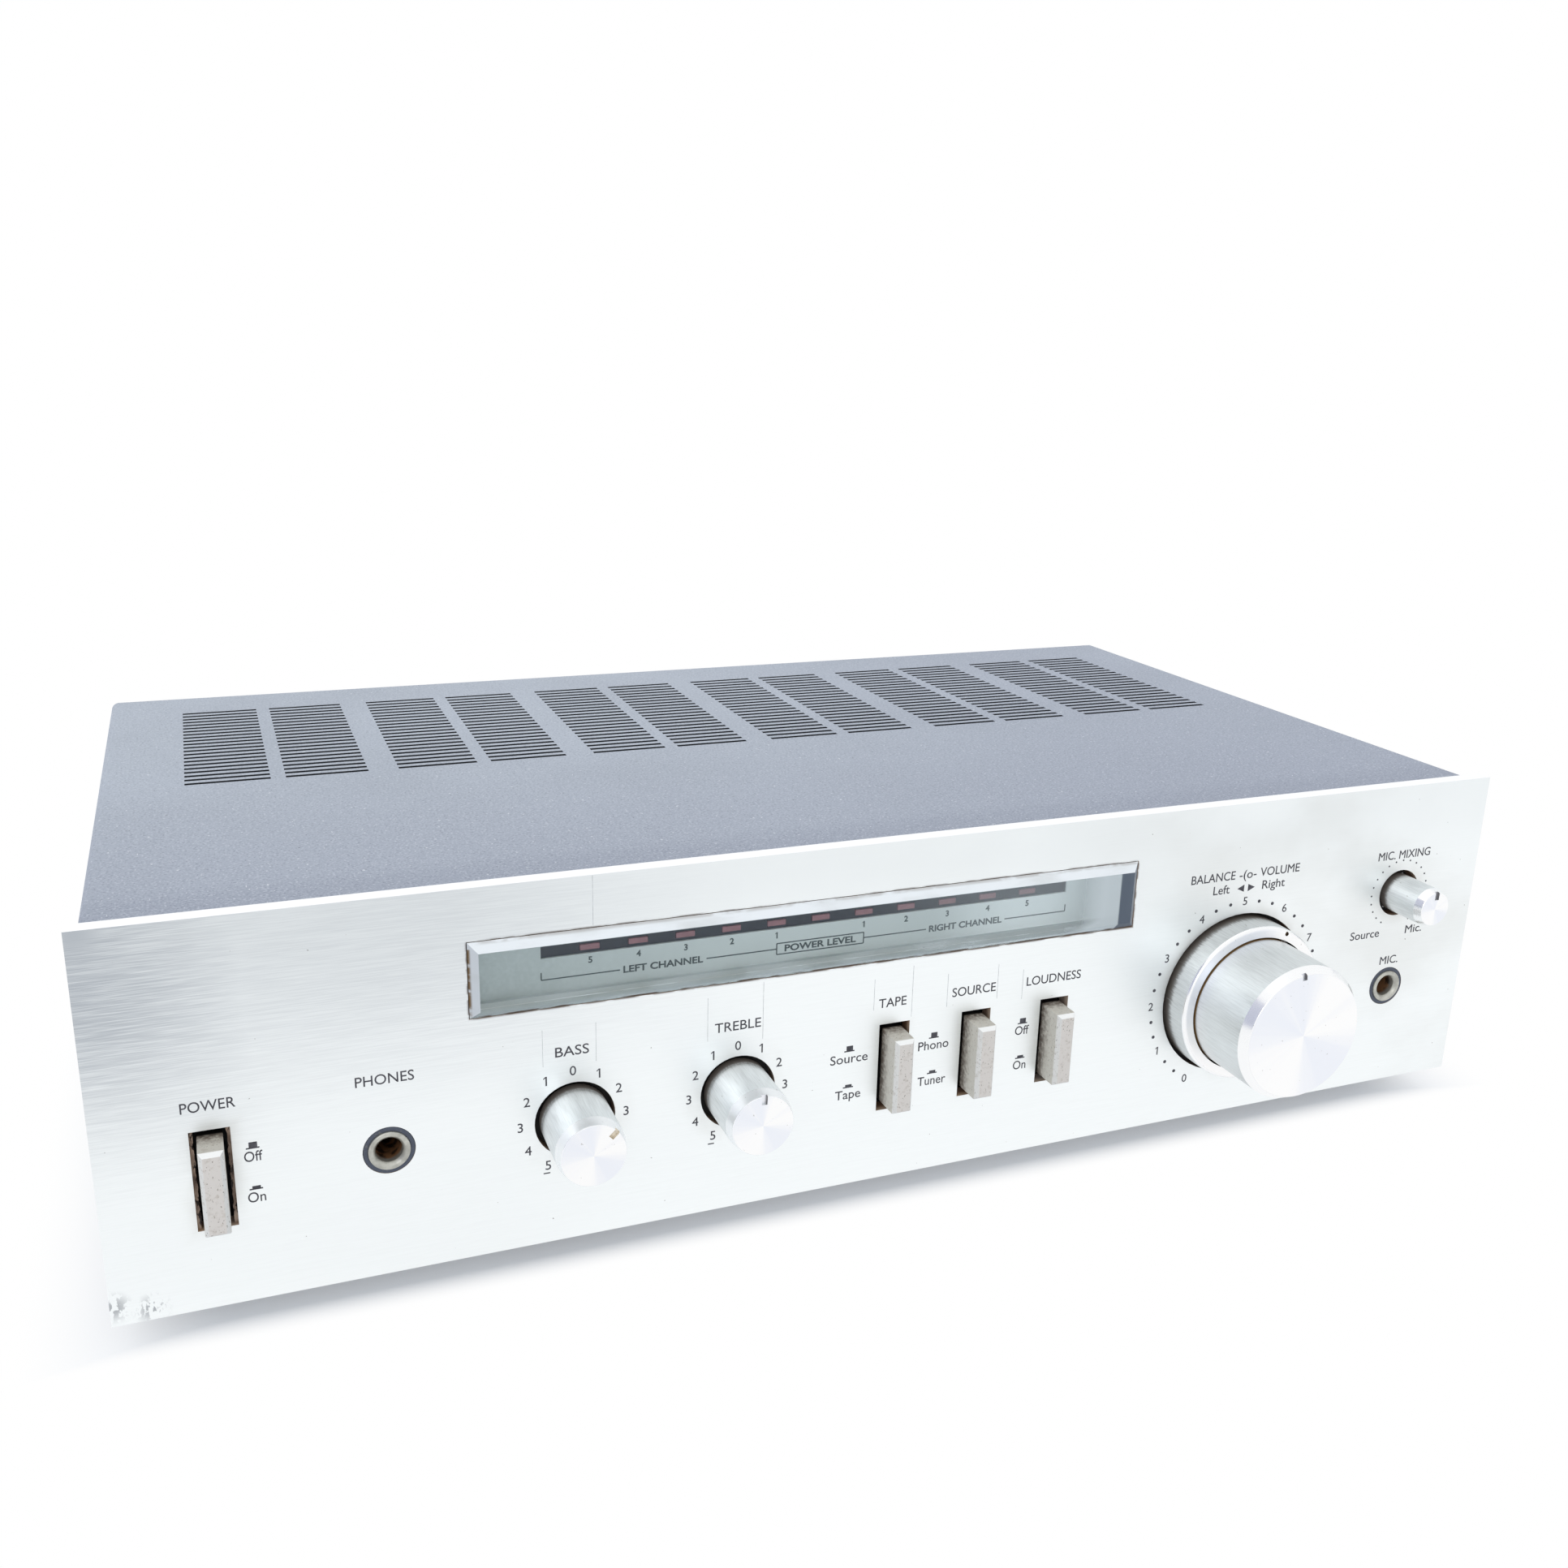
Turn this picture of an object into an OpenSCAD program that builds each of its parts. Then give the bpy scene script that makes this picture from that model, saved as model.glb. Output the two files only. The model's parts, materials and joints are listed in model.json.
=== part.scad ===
// Stereo amplifier in a folded steel case with a thick aluminium faceplate.
// Millimetres, +Z up, front towards -Y, +X to the right of someone facing the front.
// The origin lies on the table, below the middle of the overall box.
// Pieces are drawn from the faceplate: x from its middle, y back from its front face,
// z up from its bottom edge. The module framed() moves them into the part's frame.

/* [Faceplate] */
// Width of the faceplate
plate_w = 400; // [360:1:440]
// Height of the faceplate
plate_h = 99; // [90:0.5:115]
// Thickness of the faceplate
plate_t = 4.5; // [4:0.25:6]
// How far the faceplate stands past the cover at each side
lap_side = 2.2; // [2.1:0.1:4]
// How far the faceplate stands past the case at top and bottom
lap_edge = 1.2; // [0.6:0.1:2]
// Radius of the fixing studs on its back
stud_r = 1.5; // [1:0.1:2]
// Length of the fixing studs
stud_l = 7; // [5:0.5:10]
// Distance of the studs from the faceplate's ends
stud_in = 48; // [45:0.5:51]
// Height of the lower studs
stud_low = 18; // [17:0.5:22]
// Distance of the upper studs from the faceplate's top edge
stud_down = 17; // [13:0.5:23]
// Thickness of the stud nuts
stud_nut_t = 2.4; // [2:0.1:3]

/* [Case] */
// Depth of the case behind the faceplate
case_d = 214; // [205:1:250]
// Thickness of the steel sheet of the chassis
sheet_t = 1.2; // [0.8:0.1:1.6]
// Thickness of the cover's sheet
cover_t = 1; // [0.8:0.1:1.4]
// Outer radius of the cover's two long bends
bend_r = 2.5; // [1.8:0.1:5]
// Gap between sheets that slide over each other
sheet_gap = 0.2; // [0.1:0.05:0.4]
// Height of the folded flanges
flange = 12; // [9:0.5:14]
// How far the rear panel lies inside the cover's back edge
rear_inset = 12; // [11:0.5:18]
// Distance of the cover's side screws from the ends of the tray
cover_screw_in = 40; // [25:1:60]

/* [Vents] */
// Number of slots in one bank
vent_slots = 22; // [12:1:23]
// Distance from one slot to the next
vent_pitch = 4.07; // [3.6:0.01:4.2]
// Width of a slot
vent_slot_w = 1.8; // [1.2:0.1:2.4]
// Length of a slot
vent_slot_l = 23.4; // [18:0.1:25]
// Web between the two banks of a pair
vent_web = 4.2; // [3:0.1:6]
// Number of pairs of banks
vent_pairs = 6; // [2:1:6]
// Distance of the outermost slots from the cover's sides
vent_side = 22.8; // [18:0.1:30]
// Distance of the last slot from the cover's back edge
vent_back = 22.8; // [18:0.1:30]

/* [Screws and feet] */
// Radius of the screw shanks
screw_r = 1.6; // [1.2:0.1:2]
// Radial gap between a screw and its hole
screw_gap = 0.15; // [0.05:0.05:0.4]
// Radius of the screw heads
head_r = 3.4; // [3:0.1:4]
// Height of the screw heads
head_h = 2; // [1.5:0.1:2.1]
// Width of the cross recess in a screw head
recess_w = 1; // [0.6:0.1:1.2]
// Length of the cross recess
recess_l = 3.8; // [3:0.1:4.4]
// Depth of the cross recess
recess_d = 1.2; // [0.8:0.1:1.4]
// How far a screw's end stands out behind the sheet
screw_out = 4; // [2:0.5:6]
// Height of the feet
foot_h = 10; // [8:0.5:16]
// Radius of a foot at its top
foot_r = 11; // [9:0.5:16]
// How much the foot narrows towards its sole
foot_taper = 1.5; // [0.5:0.1:3]
// Depth of the screw's recess in the sole
foot_recess = 5; // [3:0.5:6]
// Distance of the feet from the faceplate's ends
foot_in = 40; // [30:1:50]
// Distance of the front feet from the faceplate's front face
foot_front = 38; // [30:1:50]
// Distance of the rear feet from the rear panel
foot_back = 26; // [20:1:36]

/* [Display] */
// Width of the window cut-out
win_w = 188; // [170:1:190]
// Height of the window cut-out
win_h = 20; // [18:0.5:22]
// Middle of the window from the middle of the faceplate
win_x = -20.9; // [-24:0.1:-18]
// Distance of the window's middle from the faceplate's top edge
win_down = 23.6; // [22:0.1:25]
// Gap round the lens
lens_gap = 0.15; // [0.1:0.05:0.3]
// How far the lens stands proud of the faceplate
lens_proud = 2.2; // [1:0.1:3]
// Width of the lens's bevelled edge
lens_bevel = 2.3; // [1:0.1:3]
// Lip of the front panel that the lens seats on
lens_lip = 1.5; // [1:0.1:2.5]
// Depth of the frame between front panel and scale
frame_d = 2.5; // [1.5:0.1:4]
// Width of the frame round its opening
frame_wall = 4; // [3.5:0.1:5]
// Radius of the frame's two end posts
post_r = 3; // [2.5:0.1:3.5]
// Thickness of the scale plate
scale_t = 0.6; // [0.4:0.1:1]
// How far the scale plate laps the frame
scale_lap = 2; // [1:0.1:2.2]
// Number of lamps
led_n = 11; // [7:2:11]
// Distance from one lamp to the next
led_pitch = 12.37; // [10:0.01:12.5]
// Width of a lamp
led_w = 5; // [4:0.1:6]
// Height of a lamp
led_h = 1.5; // [1.2:0.1:2.4]
// Height of the lamps above the window's middle
led_up = 2.2; // [0:0.1:3]
// Gap round a lamp in its holder
led_gap = 0.1; // [0.05:0.05:0.2]
// How far the lamps' faces lie behind the scale's face
led_sink = 0.2; // [0.1:0.05:0.5]
// Height of the lamp slot in the scale plate
strip_h = 3.2; // [2.8:0.1:4]
// Height of the lamp holder
holder_h = 8; // [6:0.5:10]
// Depth of the lamp holder
holder_d = 4; // [3:0.5:6]
// Height of the lamp board
led_board_h = 20; // [16:0.5:22]

/* [Buttons] */
// Width of a button cap
button_w = 5.7; // [5:0.1:6.5]
// Height of a button cap
button_h = 21.8; // [18:0.1:23]
// How far a button stands out when it is out
button_proud = 7.7; // [6.5:0.1:10]
// How far a button travels
button_travel = 4.5; // [2:0.1:5]
// Width of the bevel round the cap's face
button_bevel = 0.9; // [0.4:0.1:1.5]
// Depth of that bevel
button_bevel_d = 1.3; // [0.5:0.1:2]
// Room beside the cap in its slot
slot_side = 1.65; // [0.8:0.05:2]
// Room above and below the cap in its slot
slot_end = 2.05; // [1:0.05:2.4]
// How far the cap reaches behind the faceplate's front face
cap_root = 3.5; // [2.5:0.1:4.5]
// Height of the buttons' middle
button_z = 34; // [33:0.1:36]
// Middle of the power button from the faceplate's left end
power_in = 25.1; // [23:0.1:27]
// Middle of the left selector button from the middle of the faceplate
tape_x = -0.9; // [-3:0.1:1]
// Distance from one selector button to the next
button_pitch = 25; // [22:0.1:26]
// Width of a plunger
plunger_w = 3; // [2.4:0.1:3.4]
// Height of a plunger
plunger_h = 5; // [4:0.1:7]
// How deep a plunger sits in its cap
plunger_grip = 5; // [3:0.5:6]
// Gap round a plunger in its cap
grip_gap = 0.05; // [0.02:0.01:0.1]
// Gap round a plunger in its switch
slide_gap = 0.25; // [0.15:0.05:0.4]
// Room left behind a pressed cap and plunger
stop_gap = 1; // [0.5:0.1:2]
// Width of a switch
switch_w = 12; // [10:0.5:14]
// Height of a switch
switch_h = 16; // [12:0.5:20]
// Depth of a switch
switch_d = 30; // [26:0.5:36]
// Thickness of a switch's back wall
switch_wall = 3; // [2:0.5:4]
// Height of the bracket's ears above and below the slot
ear_h = 4; // [3:0.5:5]

/* [Tone and mixing knobs] */
// Radius of the bass and treble knobs
knob_r = 8.9; // [7.5:0.1:9.5]
// How far these knobs stand out
knob_proud = 18.8; // [15:0.1:22]
// Width of the polished bevel round a knob's face
knob_bevel = 1; // [0.4:0.1:1.5]
// Length of the polished bevel along a knob
knob_taper = 3.4; // [0.5:0.1:5]
// Gap between a knob and its hole
knob_gap = 1.45; // [0.8:0.05:2]
// Thickness of the face in front of the shaft
knob_face = 4; // [2:0.5:6]
// Middle of the bass knob from the faceplate's left end
bass_in = 110.6; // [109:0.1:113]
// Middle of the treble knob from the faceplate's left end
treble_in = 154.2; // [152:0.1:156]
// Height of both knobs' middles
knob_z = 34; // [33:0.1:36]
// Radius of the mixing knob
mix_r = 5.95; // [5:0.05:6.5]
// How far the mixing knob stands out
mix_proud = 14.8; // [12:0.1:18]
// Width of the mixing knob's polished bevel
mix_bevel = 0.8; // [0.4:0.1:1.5]
// Length of the mixing knob's polished bevel
mix_taper = 2.5; // [0.5:0.1:4]
// Middle of the mixing knob from the faceplate's right end
mix_in = 29.8; // [28:0.1:31]
// Middle of the mixing knob from the faceplate's top edge
mix_down = 34.6; // [31:0.1:37]
// Width of a pointer notch
notch_w = 1.5; // [0.8:0.1:2]
// Length of a pointer notch
notch_l = 3; // [2:0.1:4]
// Depth of a pointer notch
notch_d = 0.8; // [0.4:0.1:1.5]
// Clockwise angle of the bass pointer from straight up
bass_turn = 46; // [-150:1:150]
// Clockwise angle of the treble pointer
treble_turn = 2; // [-150:1:150]
// Clockwise angle of the mixing pointer
mix_turn = 2; // [-150:1:150]

/* [Volume and balance] */
// Radius of the volume knob
volume_r = 20.4; // [18:0.1:20.8]
// How far the volume knob stands out
volume_proud = 30.7; // [26:0.1:34]
// Width of the polished bevel round the volume knob's face
volume_bevel = 1.6; // [0.5:0.1:2]
// Length of the polished bevel along the volume knob
volume_taper = 2.6; // [0.5:0.1:5]
// Middle of both controls from the faceplate's right end
volume_in = 88.1; // [87:0.1:90]
// Height of both controls' middle
volume_z = 39.4; // [38:0.1:41]
// Clockwise angle of the volume pointer
volume_turn = -7; // [-150:1:150]
// Wall of the hollow volume knob
volume_wall = 2.5; // [1.5:0.1:3.5]
// Depth of the hollow behind the volume knob
volume_hollow = 14; // [8:0.5:16]
// Radius of the balance ring
ring_r = 24.15; // [23:0.05:24.8]
// How far the balance ring stands out
ring_proud = 8.6; // [7:0.1:11]
// Radius of the ring's rounded lip
ring_lip = 1.2; // [0.5:0.1:1.5]
// Clockwise angle of the ring's pointer dot
balance_turn = 24; // [-150:1:150]
// Radius of the pointer dot
dot_r = 0.6; // [0.4:0.05:0.8]
// Depth of the pointer dot
dot_d = 0.6; // [0.3:0.1:1]
// Distance of the pointer dot's middle from the ring's outer edge
dot_in = 1.2; // [1:0.05:1.5]
// Gap between the ring and its hole
ring_gap = 1.15; // [0.6:0.05:1.6]
// Gap between the volume knob and the ring round it
nest_gap = 0.5; // [0.3:0.05:1]
// How deep the volume knob dips into the ring
nest_d = 4; // [2:0.1:5]
// Thickness of the ring's floor
ring_floor = 3; // [2:0.1:3.5]
// Gap between the ring's back edge and the front panel
ring_back_gap = 0.9; // [0.5:0.1:1.2]

/* [Controls behind the panel] */
// Radius of the control shafts
shaft_r = 3; // [2.5:0.1:3.2]
// Radius of the balance shaft, a tube round the volume shaft
tube_r = 4; // [3.8:0.1:4.4]
// Running gap of a shaft in its bush
run_gap = 0.05; // [0.02:0.01:0.1]
// Gap of a shaft in its knob
fit_gap = 0.02; // [0.01:0.01:0.05]
// Wall of a threaded bush round its shaft
bush_wall = 0.9; // [0.8:0.05:1.2]
// Gap of a bush in the front panel
bush_gap = 0.1; // [0.05:0.05:0.2]
// Thickness of the control nuts
nut_t = 2; // [1.5:0.1:2.2]
// Width of a nut round its bush
nut_rim = 2.2; // [1.6:0.1:2.3]
// Thread that shows in front of a nut
thread_out = 0.3; // [0.1:0.1:0.5]
// Gap between a bush and the knob in front of it
bush_knob_gap = 0.4; // [0.3:0.05:0.6]
// Radius of a tone or mixing control's can
pot_r = 8.5; // [7:0.5:10]
// Depth of a tone or mixing control's can
pot_d = 12; // [9:0.5:16]
// Radius of the volume and balance control's can
dual_r = 13; // [10:0.5:14]
// Depth of the balance half of that control
dual_front = 11; // [9:0.5:14]
// Depth of the volume half of that control
dual_back = 12; // [9:0.5:14]
// Back wall of a control's can
pot_wall = 2; // [1:0.5:3]

/* [Jacks] */
// Radius of the plug bore, for a 6.35 mm plug
jack_bore_r = 3.2; // [3.18:0.01:3.3]
// Radius of the nickel bush
jack_bush_r = 5.05; // [4.6:0.05:5.3]
// Length of the nickel bush
jack_bush_l = 12; // [8:0.5:14]
// How far the bush stands proud of the faceplate
jack_proud = 0.6; // [0.2:0.1:1.5]
// Width of the bush's countersunk mouth
jack_mouth = 0.8; // [0.4:0.1:1]
// Radius of the dark nose round the bush
jack_nose_r = 6.15; // [5.8:0.05:6.6]
// Gap between the nose and its hole
jack_gap = 0.1; // [0.05:0.05:0.3]
// Side of the square jack body
jack_body = 18; // [15:0.5:19]
// Depth of the plug bore from the faceplate
jack_depth = 33; // [31:0.5:40]
// Extra radius of the bore behind the bush
jack_relief = 0.3; // [0.1:0.05:0.6]
// Back wall of the jack body
jack_wall = 3; // [2:0.5:5]
// Middle of the phones jack from the faceplate's left end
phones_in = 64.8; // [63:0.1:66]
// Height of the phones jack
phones_z = 34; // [32:0.1:36]
// Middle of the microphone jack from the faceplate's right end
mic_in = 29.4; // [28:0.1:31]
// Height of the microphone jack
mic_z = 33.1; // [32:0.1:35]

/* [Transformer] */
// Distance of the transformer's middle from the side of the tray
trafo_in = 72; // [68:1:80]
// Distance of the transformer's middle from the faceplate's front face
trafo_y = 122; // [110:1:130]
// Width of the iron core
core_w = 75; // [66:1:80]
// Stack of the iron core
core_d = 40; // [30:1:45]
// Height of the iron core
core_h = 62; // [56:1:70]
// Width of the core's outer legs and yokes
core_leg = 12.5; // [10:0.5:14]
// Gap between the coil and the iron
coil_gap = 0.3; // [0.2:0.05:0.5]
// Corner radius of the coil
coil_round = 6; // [3:0.5:8]
// Thickness of the mounting strap
strap_t = 1.2; // [0.8:0.1:2]
// Length of the strap's feet
strap_foot = 12; // [10:0.5:14]

/* [Amplifier board] */
// Gap between the transformer's strap and the board
board_gap = 24; // [18:1:30]
// Width of the amplifier board
board_w = 190; // [180:1:195]
// Depth of the amplifier board
board_d = 94; // [85:1:98]
// Thickness of the boards
board_t = 1.6; // [1:0.1:2]
// Height of the board's standoffs
standoff_h = 8; // [5:0.5:12]
// Radius of the standoffs
standoff_r = 3; // [2.5:0.1:4]
// Distance of the standoffs from the board's edges
standoff_in = 6; // [5:0.5:9]
// Radius of the filter capacitors
cap_r = 17.5; // [12:0.5:18]
// Height of the filter capacitors
cap_h = 55; // [40:1:60]
// Distance between the filter capacitors
cap_pitch = 42; // [38:1:50]
// Distance of the capacitors from the board's front edge
cap_in = 24; // [20:1:30]
// Length of the heat sink
sink_w = 180; // [160:1:190]
// Height of the heat sink
sink_h = 62; // [50:1:70]
// Thickness of the heat sink's base
sink_t = 5; // [4:0.5:6]
// Length of a fin
fin_l = 20; // [14:0.5:21]
// Thickness of a fin
fin_t = 2; // [1.5:0.1:2.5]
// Number of fins
fin_n = 16; // [10:1:18]
// Room between the fins and the rear panel
sink_gap = 18; // [14:1:22]
// Gap between the board's back edge and the heat sink
sink_edge = 0.5; // [0.3:0.1:1]
// Number of power transistors
device_n = 4; // [2:2:4]
// Distance from one transistor to the next
device_pitch = 44; // [30:1:45]
// Width of a transistor
device_w = 15.5; // [10:0.5:18]
// Height of a transistor
device_h = 20; // [15:0.5:24]
// Thickness of a transistor
device_t = 5; // [4:0.5:6]
// Length of the transistors' legs
leg_l = 8; // [5:0.5:12]
// Radius of a leg
leg_r = 0.6; // [0.4:0.1:0.8]
// Distance from one leg to the next
leg_pitch = 4; // [3:0.5:5]

/* [Rear panel] */
// Radius of the pin bore in a signal socket
phono_bore_r = 1.6; // [1.55:0.01:1.8]
// Radius of a signal socket's collar
phono_r = 4.15; // [4:0.05:4.4]
// Length of a signal socket's collar
phono_l = 9; // [7:0.1:9.5]
// Radius of a signal socket's flange
phono_flange_r = 6; // [5.5:0.1:6.5]
// Thickness of a signal socket's flange
phono_flange_t = 1; // [0.6:0.1:1.2]
// Radius of a signal socket's neck in the panel
phono_neck_r = 3.2; // [2.5:0.1:3.6]
// Number of socket columns
phono_cols = 4; // [2:1:4]
// Distance between the sockets of one column and between columns
phono_pitch = 19; // [15:0.5:22]
// Middle of the socket field from the right side of the tray
phono_in = 71.6; // [66:0.1:76]
// Height of the lower row of sockets
phono_z = 32; // [25:0.5:40]
// Middle of the speaker terminals from the middle of the case
speaker_x = -10; // [-20:1:0]
// Height of the speaker terminal strip
speaker_h = 16; // [12:0.5:20]
// Depth of the speaker terminal strip
speaker_d = 7; // [5:0.5:8]
// Number of terminal screws
speaker_n = 4; // [2:2:4]
// Distance from one terminal screw to the next
speaker_pitch = 19; // [14:0.5:20]
// Thickness of the barriers between the terminal screws
barrier_t = 2; // [1:0.1:3]
// How far the barriers stand out from the strip
barrier_out = 3; // [2:0.1:4]
// Height of the rear fittings' middle
rear_z = 40; // [30:0.5:50]
// Middle of the ground terminal from the middle of the case
ground_x = 62; // [56:1:70]
// Radius of the ground terminal's knurled nut
ground_r = 5; // [4:0.5:6]
// Length of the ground terminal's knurled nut
ground_l = 6; // [4:0.5:8]
// Number of grip grooves round the knurled nut
ground_grooves = 20; // [12:1:28]
// Radius of the grip grooves of the nut and of the fuse cap
groove_r = 0.4; // [0.2:0.05:0.6]
// Middle of the fuse holder from the left side of the tray
fuse_in = 76.6; // [71:0.1:86]
// Radius of the fuse holder's body
fuse_r = 6; // [5:0.1:7]
// Length of the fuse holder inside the case
fuse_l = 24; // [18:1:30]
// Length of the fuse holder's cap
fuse_cap_l = 8; // [5:0.5:10]
// Number of grip grooves round the fuse holder's cap
fuse_grooves = 16; // [8:1:24]
// Width of the coin slot in the fuse holder's cap
coin_w = 1.4; // [1:0.1:2]
// Depth of the coin slot
coin_d = 1.6; // [1:0.1:2.5]
// Middle of the mains gland from the left side of the tray
gland_in = 34.6; // [28:0.1:46]
// Bore of the mains gland
gland_bore_r = 3.6; // [3:0.1:4]
// Wall of the mains gland
gland_wall = 2.3; // [1.5:0.1:3]
// Rim of the gland and fuse holder round their holes
rim_w = 2.5; // [2:0.1:3]
// Thickness of those rims
rim_t = 3; // [2:0.1:4]
// Radial gap between a rear fitting and its hole
rear_gap = 0.1; // [0.05:0.05:0.3]

/* [Hidden] */
$fn = 72;

// How far a cut runs past the faces that it opens
over = 1;
// Number of steps in the ring's rounded lip
lip_steps = 6;
// Number of selector buttons
selector_n = 3;
sides = [-1, 1];

// Case planes
plate_half = plate_w / 2;
case_half = plate_half - lap_side;
case_z0 = lap_edge;
case_z1 = plate_h - lap_edge;
half_in = case_half - cover_t - sheet_gap;
floor_z = case_z0 + sheet_t;
roof_z = case_z1 - cover_t - sheet_gap;
panel_y = plate_t + sheet_t;
back_y = plate_t + case_d;
rear_y = back_y - rear_inset;
rear_in = rear_y - sheet_t;
corner_r = bend_r - cover_t - sheet_gap;

// Banks of slots, spread evenly between the cover's sides
pair_w = 2 * vent_slot_l + vent_web;
pair_pitch = (2 * (case_half - vent_side) - pair_w) / (vent_pairs - 1);

// The part's frame, from the faceplate's
overall_d = volume_proud + back_y;
face_y = volume_proud - overall_d / 2;
plate_z = foot_h - lap_edge;

// Screw holes and places
hole_r = screw_r + screw_gap;
cover_screw_z = floor_z + (flange - sheet_t) / 2;
cover_screw_ys = [panel_y + cover_screw_in, rear_in - cover_screw_in];
foot_places = [for (x = sides, y = [foot_front, rear_in - foot_back]) [x * (plate_half - foot_in), y]];
stud_places = [for (x = sides, z = [stud_low, plate_h - stud_down]) [x * (plate_half - stud_in), z]];
stud_hole_r = stud_r + screw_gap;
stud_nut_r = 2 * stud_r;

// Display planes
win_z = plate_h - win_down;
window = [win_x, win_z];
view_w = win_w - 2 * lens_lip;
view_h = win_h - 2 * lens_lip;
frame_w = view_w + 2 * frame_wall;
scale_y = panel_y + frame_d;
holder_y = scale_y + scale_t;
led_board_y = holder_y + holder_d;
strip_w = (led_n + 1) * led_pitch;
post_x = frame_w / 2 + post_r - scale_lap / 2;
led_z = win_z + led_up;
led_xs = [for (i = [0 : led_n - 1]) win_x + (i - (led_n - 1) / 2) * led_pitch];

// Buttons and switches
power_x = power_in - plate_half;
slot_w = button_w + 2 * slot_side;
slot_h = button_h + 2 * slot_end;
selector_xs = [for (i = [0 : selector_n - 1]) tape_x + i * button_pitch];
button_xs = concat([power_x], selector_xs);
switch_y = max(panel_y, cap_root + button_travel) + stop_gap;
plunger_front = cap_root - plunger_grip;
switch_end = switch_y + switch_d;
plunger_end = switch_end - switch_wall - stop_gap - button_travel;

// Knobs, shafts and their controls
bush_front = plate_t - nut_t - thread_out;
knob_back = bush_front - bush_knob_gap;
knob_hole_r = knob_r + knob_gap;
mix_hole_r = mix_r + knob_gap;
bush_r = shaft_r + run_gap + bush_wall;
tube_bore_r = shaft_r + run_gap;
hub_r = 2 * shaft_r;
dual_bush_r = tube_r + run_gap + bush_wall;
pot_end = panel_y + pot_d - pot_wall;
ring_hole_r = ring_r + ring_gap;
ring_back = plate_t - ring_back_gap;
ring_in_r = volume_r + nest_gap;
volume_back = nest_d - ring_proud;
cup_y = volume_back + nest_gap;
balance_end = panel_y + dual_front;
volume_end = balance_end + dual_back - pot_wall;
tone_places = [for (x = [bass_in, treble_in]) [x - plate_half, knob_z]];
mix_place = [plate_half - mix_in, plate_h - mix_down];
small_places = concat(tone_places, [mix_place]);
volume_place = [plate_half - volume_in, volume_z];

// Jacks
jack_places = [[phones_in - plate_half, phones_z], [plate_half - mic_in, mic_z]];
jack_hole_r = jack_nose_r + jack_gap;
jack_bush_end = jack_bush_l - jack_proud;

// Transformer
trafo_x = trafo_in - half_in;
window_w = (core_w - 4 * core_leg) / 2;
strap_w = core_w + 2 * strap_t;
strap_screw_x = strap_w / 2 + strap_foot / 2;

// Amplifier board and heat sink
board_x = trafo_x + strap_w / 2 + strap_foot + board_gap + board_w / 2;
sink_y = rear_in - sink_gap - fin_l - sink_t;
board_back = sink_y - sink_edge;
board_front = board_back - board_d;
board_z = floor_z + standoff_h;
board_top = board_z + board_t;
standoff_places = [for (x = sides, y = [board_front + standoff_in, board_back - standoff_in])
                   [board_x + x * (board_w / 2 - standoff_in), y]];
device_xs = [for (i = [0 : device_n - 1]) board_x + (i - (device_n - 1) / 2) * device_pitch];

// Rear fittings
phono_x = half_in - phono_in;
phono_places = [for (i = [0 : phono_cols - 1], j = [0, 1])
                [phono_x + (i - (phono_cols - 1) / 2) * phono_pitch, phono_z + j * phono_pitch]];
phono_hole_r = phono_neck_r + rear_gap;
phono_mouth = rear_y + phono_flange_t + phono_l;
terminal_xs = [for (i = [0 : speaker_n - 1]) speaker_x + (i - (speaker_n - 1) / 2) * speaker_pitch];
speaker_w = speaker_n * speaker_pitch + 2 * barrier_t;
fuse_place = [fuse_in - half_in, rear_z];
gland_place = [gland_in - half_in, rear_z];
gland_r = gland_bore_r + gland_wall;
fuse_hole_r = fuse_r + rear_gap;
gland_hole_r = gland_r + rear_gap;

// Moves a piece from the faceplate's coordinates into the part's frame
module framed(tint) color(tint) translate([0, face_y, plate_z]) children();

// Block between two corners
module box(low, high) translate(low) cube(high - low);

// Shape at a place on the faceplate
module at(place) translate([place.x, 0, place.y]) children();

// Round bar along the depth, from y0 to y1
module bar(r, y0, y1, sides_n = $fn)
    translate([0, y0, 0]) rotate([-90, 0, 0]) cylinder(r = r, h = y1 - y0, $fn = sides_n);

// Block round a place on the faceplate, from y0 to y1
module slab(place, w, h, y0, y1)
    translate([place.x - w / 2, y0, place.y - h / 2]) cube([w, y1 - y0, h]);

// Round bar upwards, from z0 to z1
module post(r, z0, z1) translate([0, 0, z0]) cylinder(r = r, h = z1 - z0);

// Shape turned about the depth, from an outline of [radius, y] points
module turned(outline) rotate([-90, 0, 0]) rotate_extrude() polygon(outline);

// Block whose front face is bevelled on all four edges
module bevelled_block(w, h, front, back, bevel, bevel_d) {
    intersection() {
        linear_extrude(height = h, center = true)
            bevel_outline(w, front, back, bevel, bevel_d);
        rotate([0, 90, 0]) linear_extrude(height = w, center = true)
            bevel_outline(h, front, back, bevel, bevel_d);
    }
}

// Outline of a bevelled block seen from the side, with its face towards -y
module bevel_outline(w, front, back, bevel, bevel_d)
    polygon([[-w / 2, back], [-w / 2, front + bevel_d], [bevel - w / 2, front],
             [w / 2 - bevel, front], [w / 2, front + bevel_d], [w / 2, back]]);

// Rectangle with rounded corners, round the origin
module round_rect(w, h, r) {
    square([w - 2 * r, h], center = true);
    square([w, h - 2 * r], center = true);
    for (x = sides, y = sides)
        translate([x * (w / 2 - r), y * (h / 2 - r)]) circle(r);
}

// Gate outline with two rounded upper corners
module gate(half, bottom, top, r) {
    translate([-half, bottom]) square([2 * half, top - r - bottom]);
    translate([r - half, bottom]) square([2 * (half - r), top - bottom]);
    for (x = sides)
        translate([x * (half - r), top - r]) circle(r);
}

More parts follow.
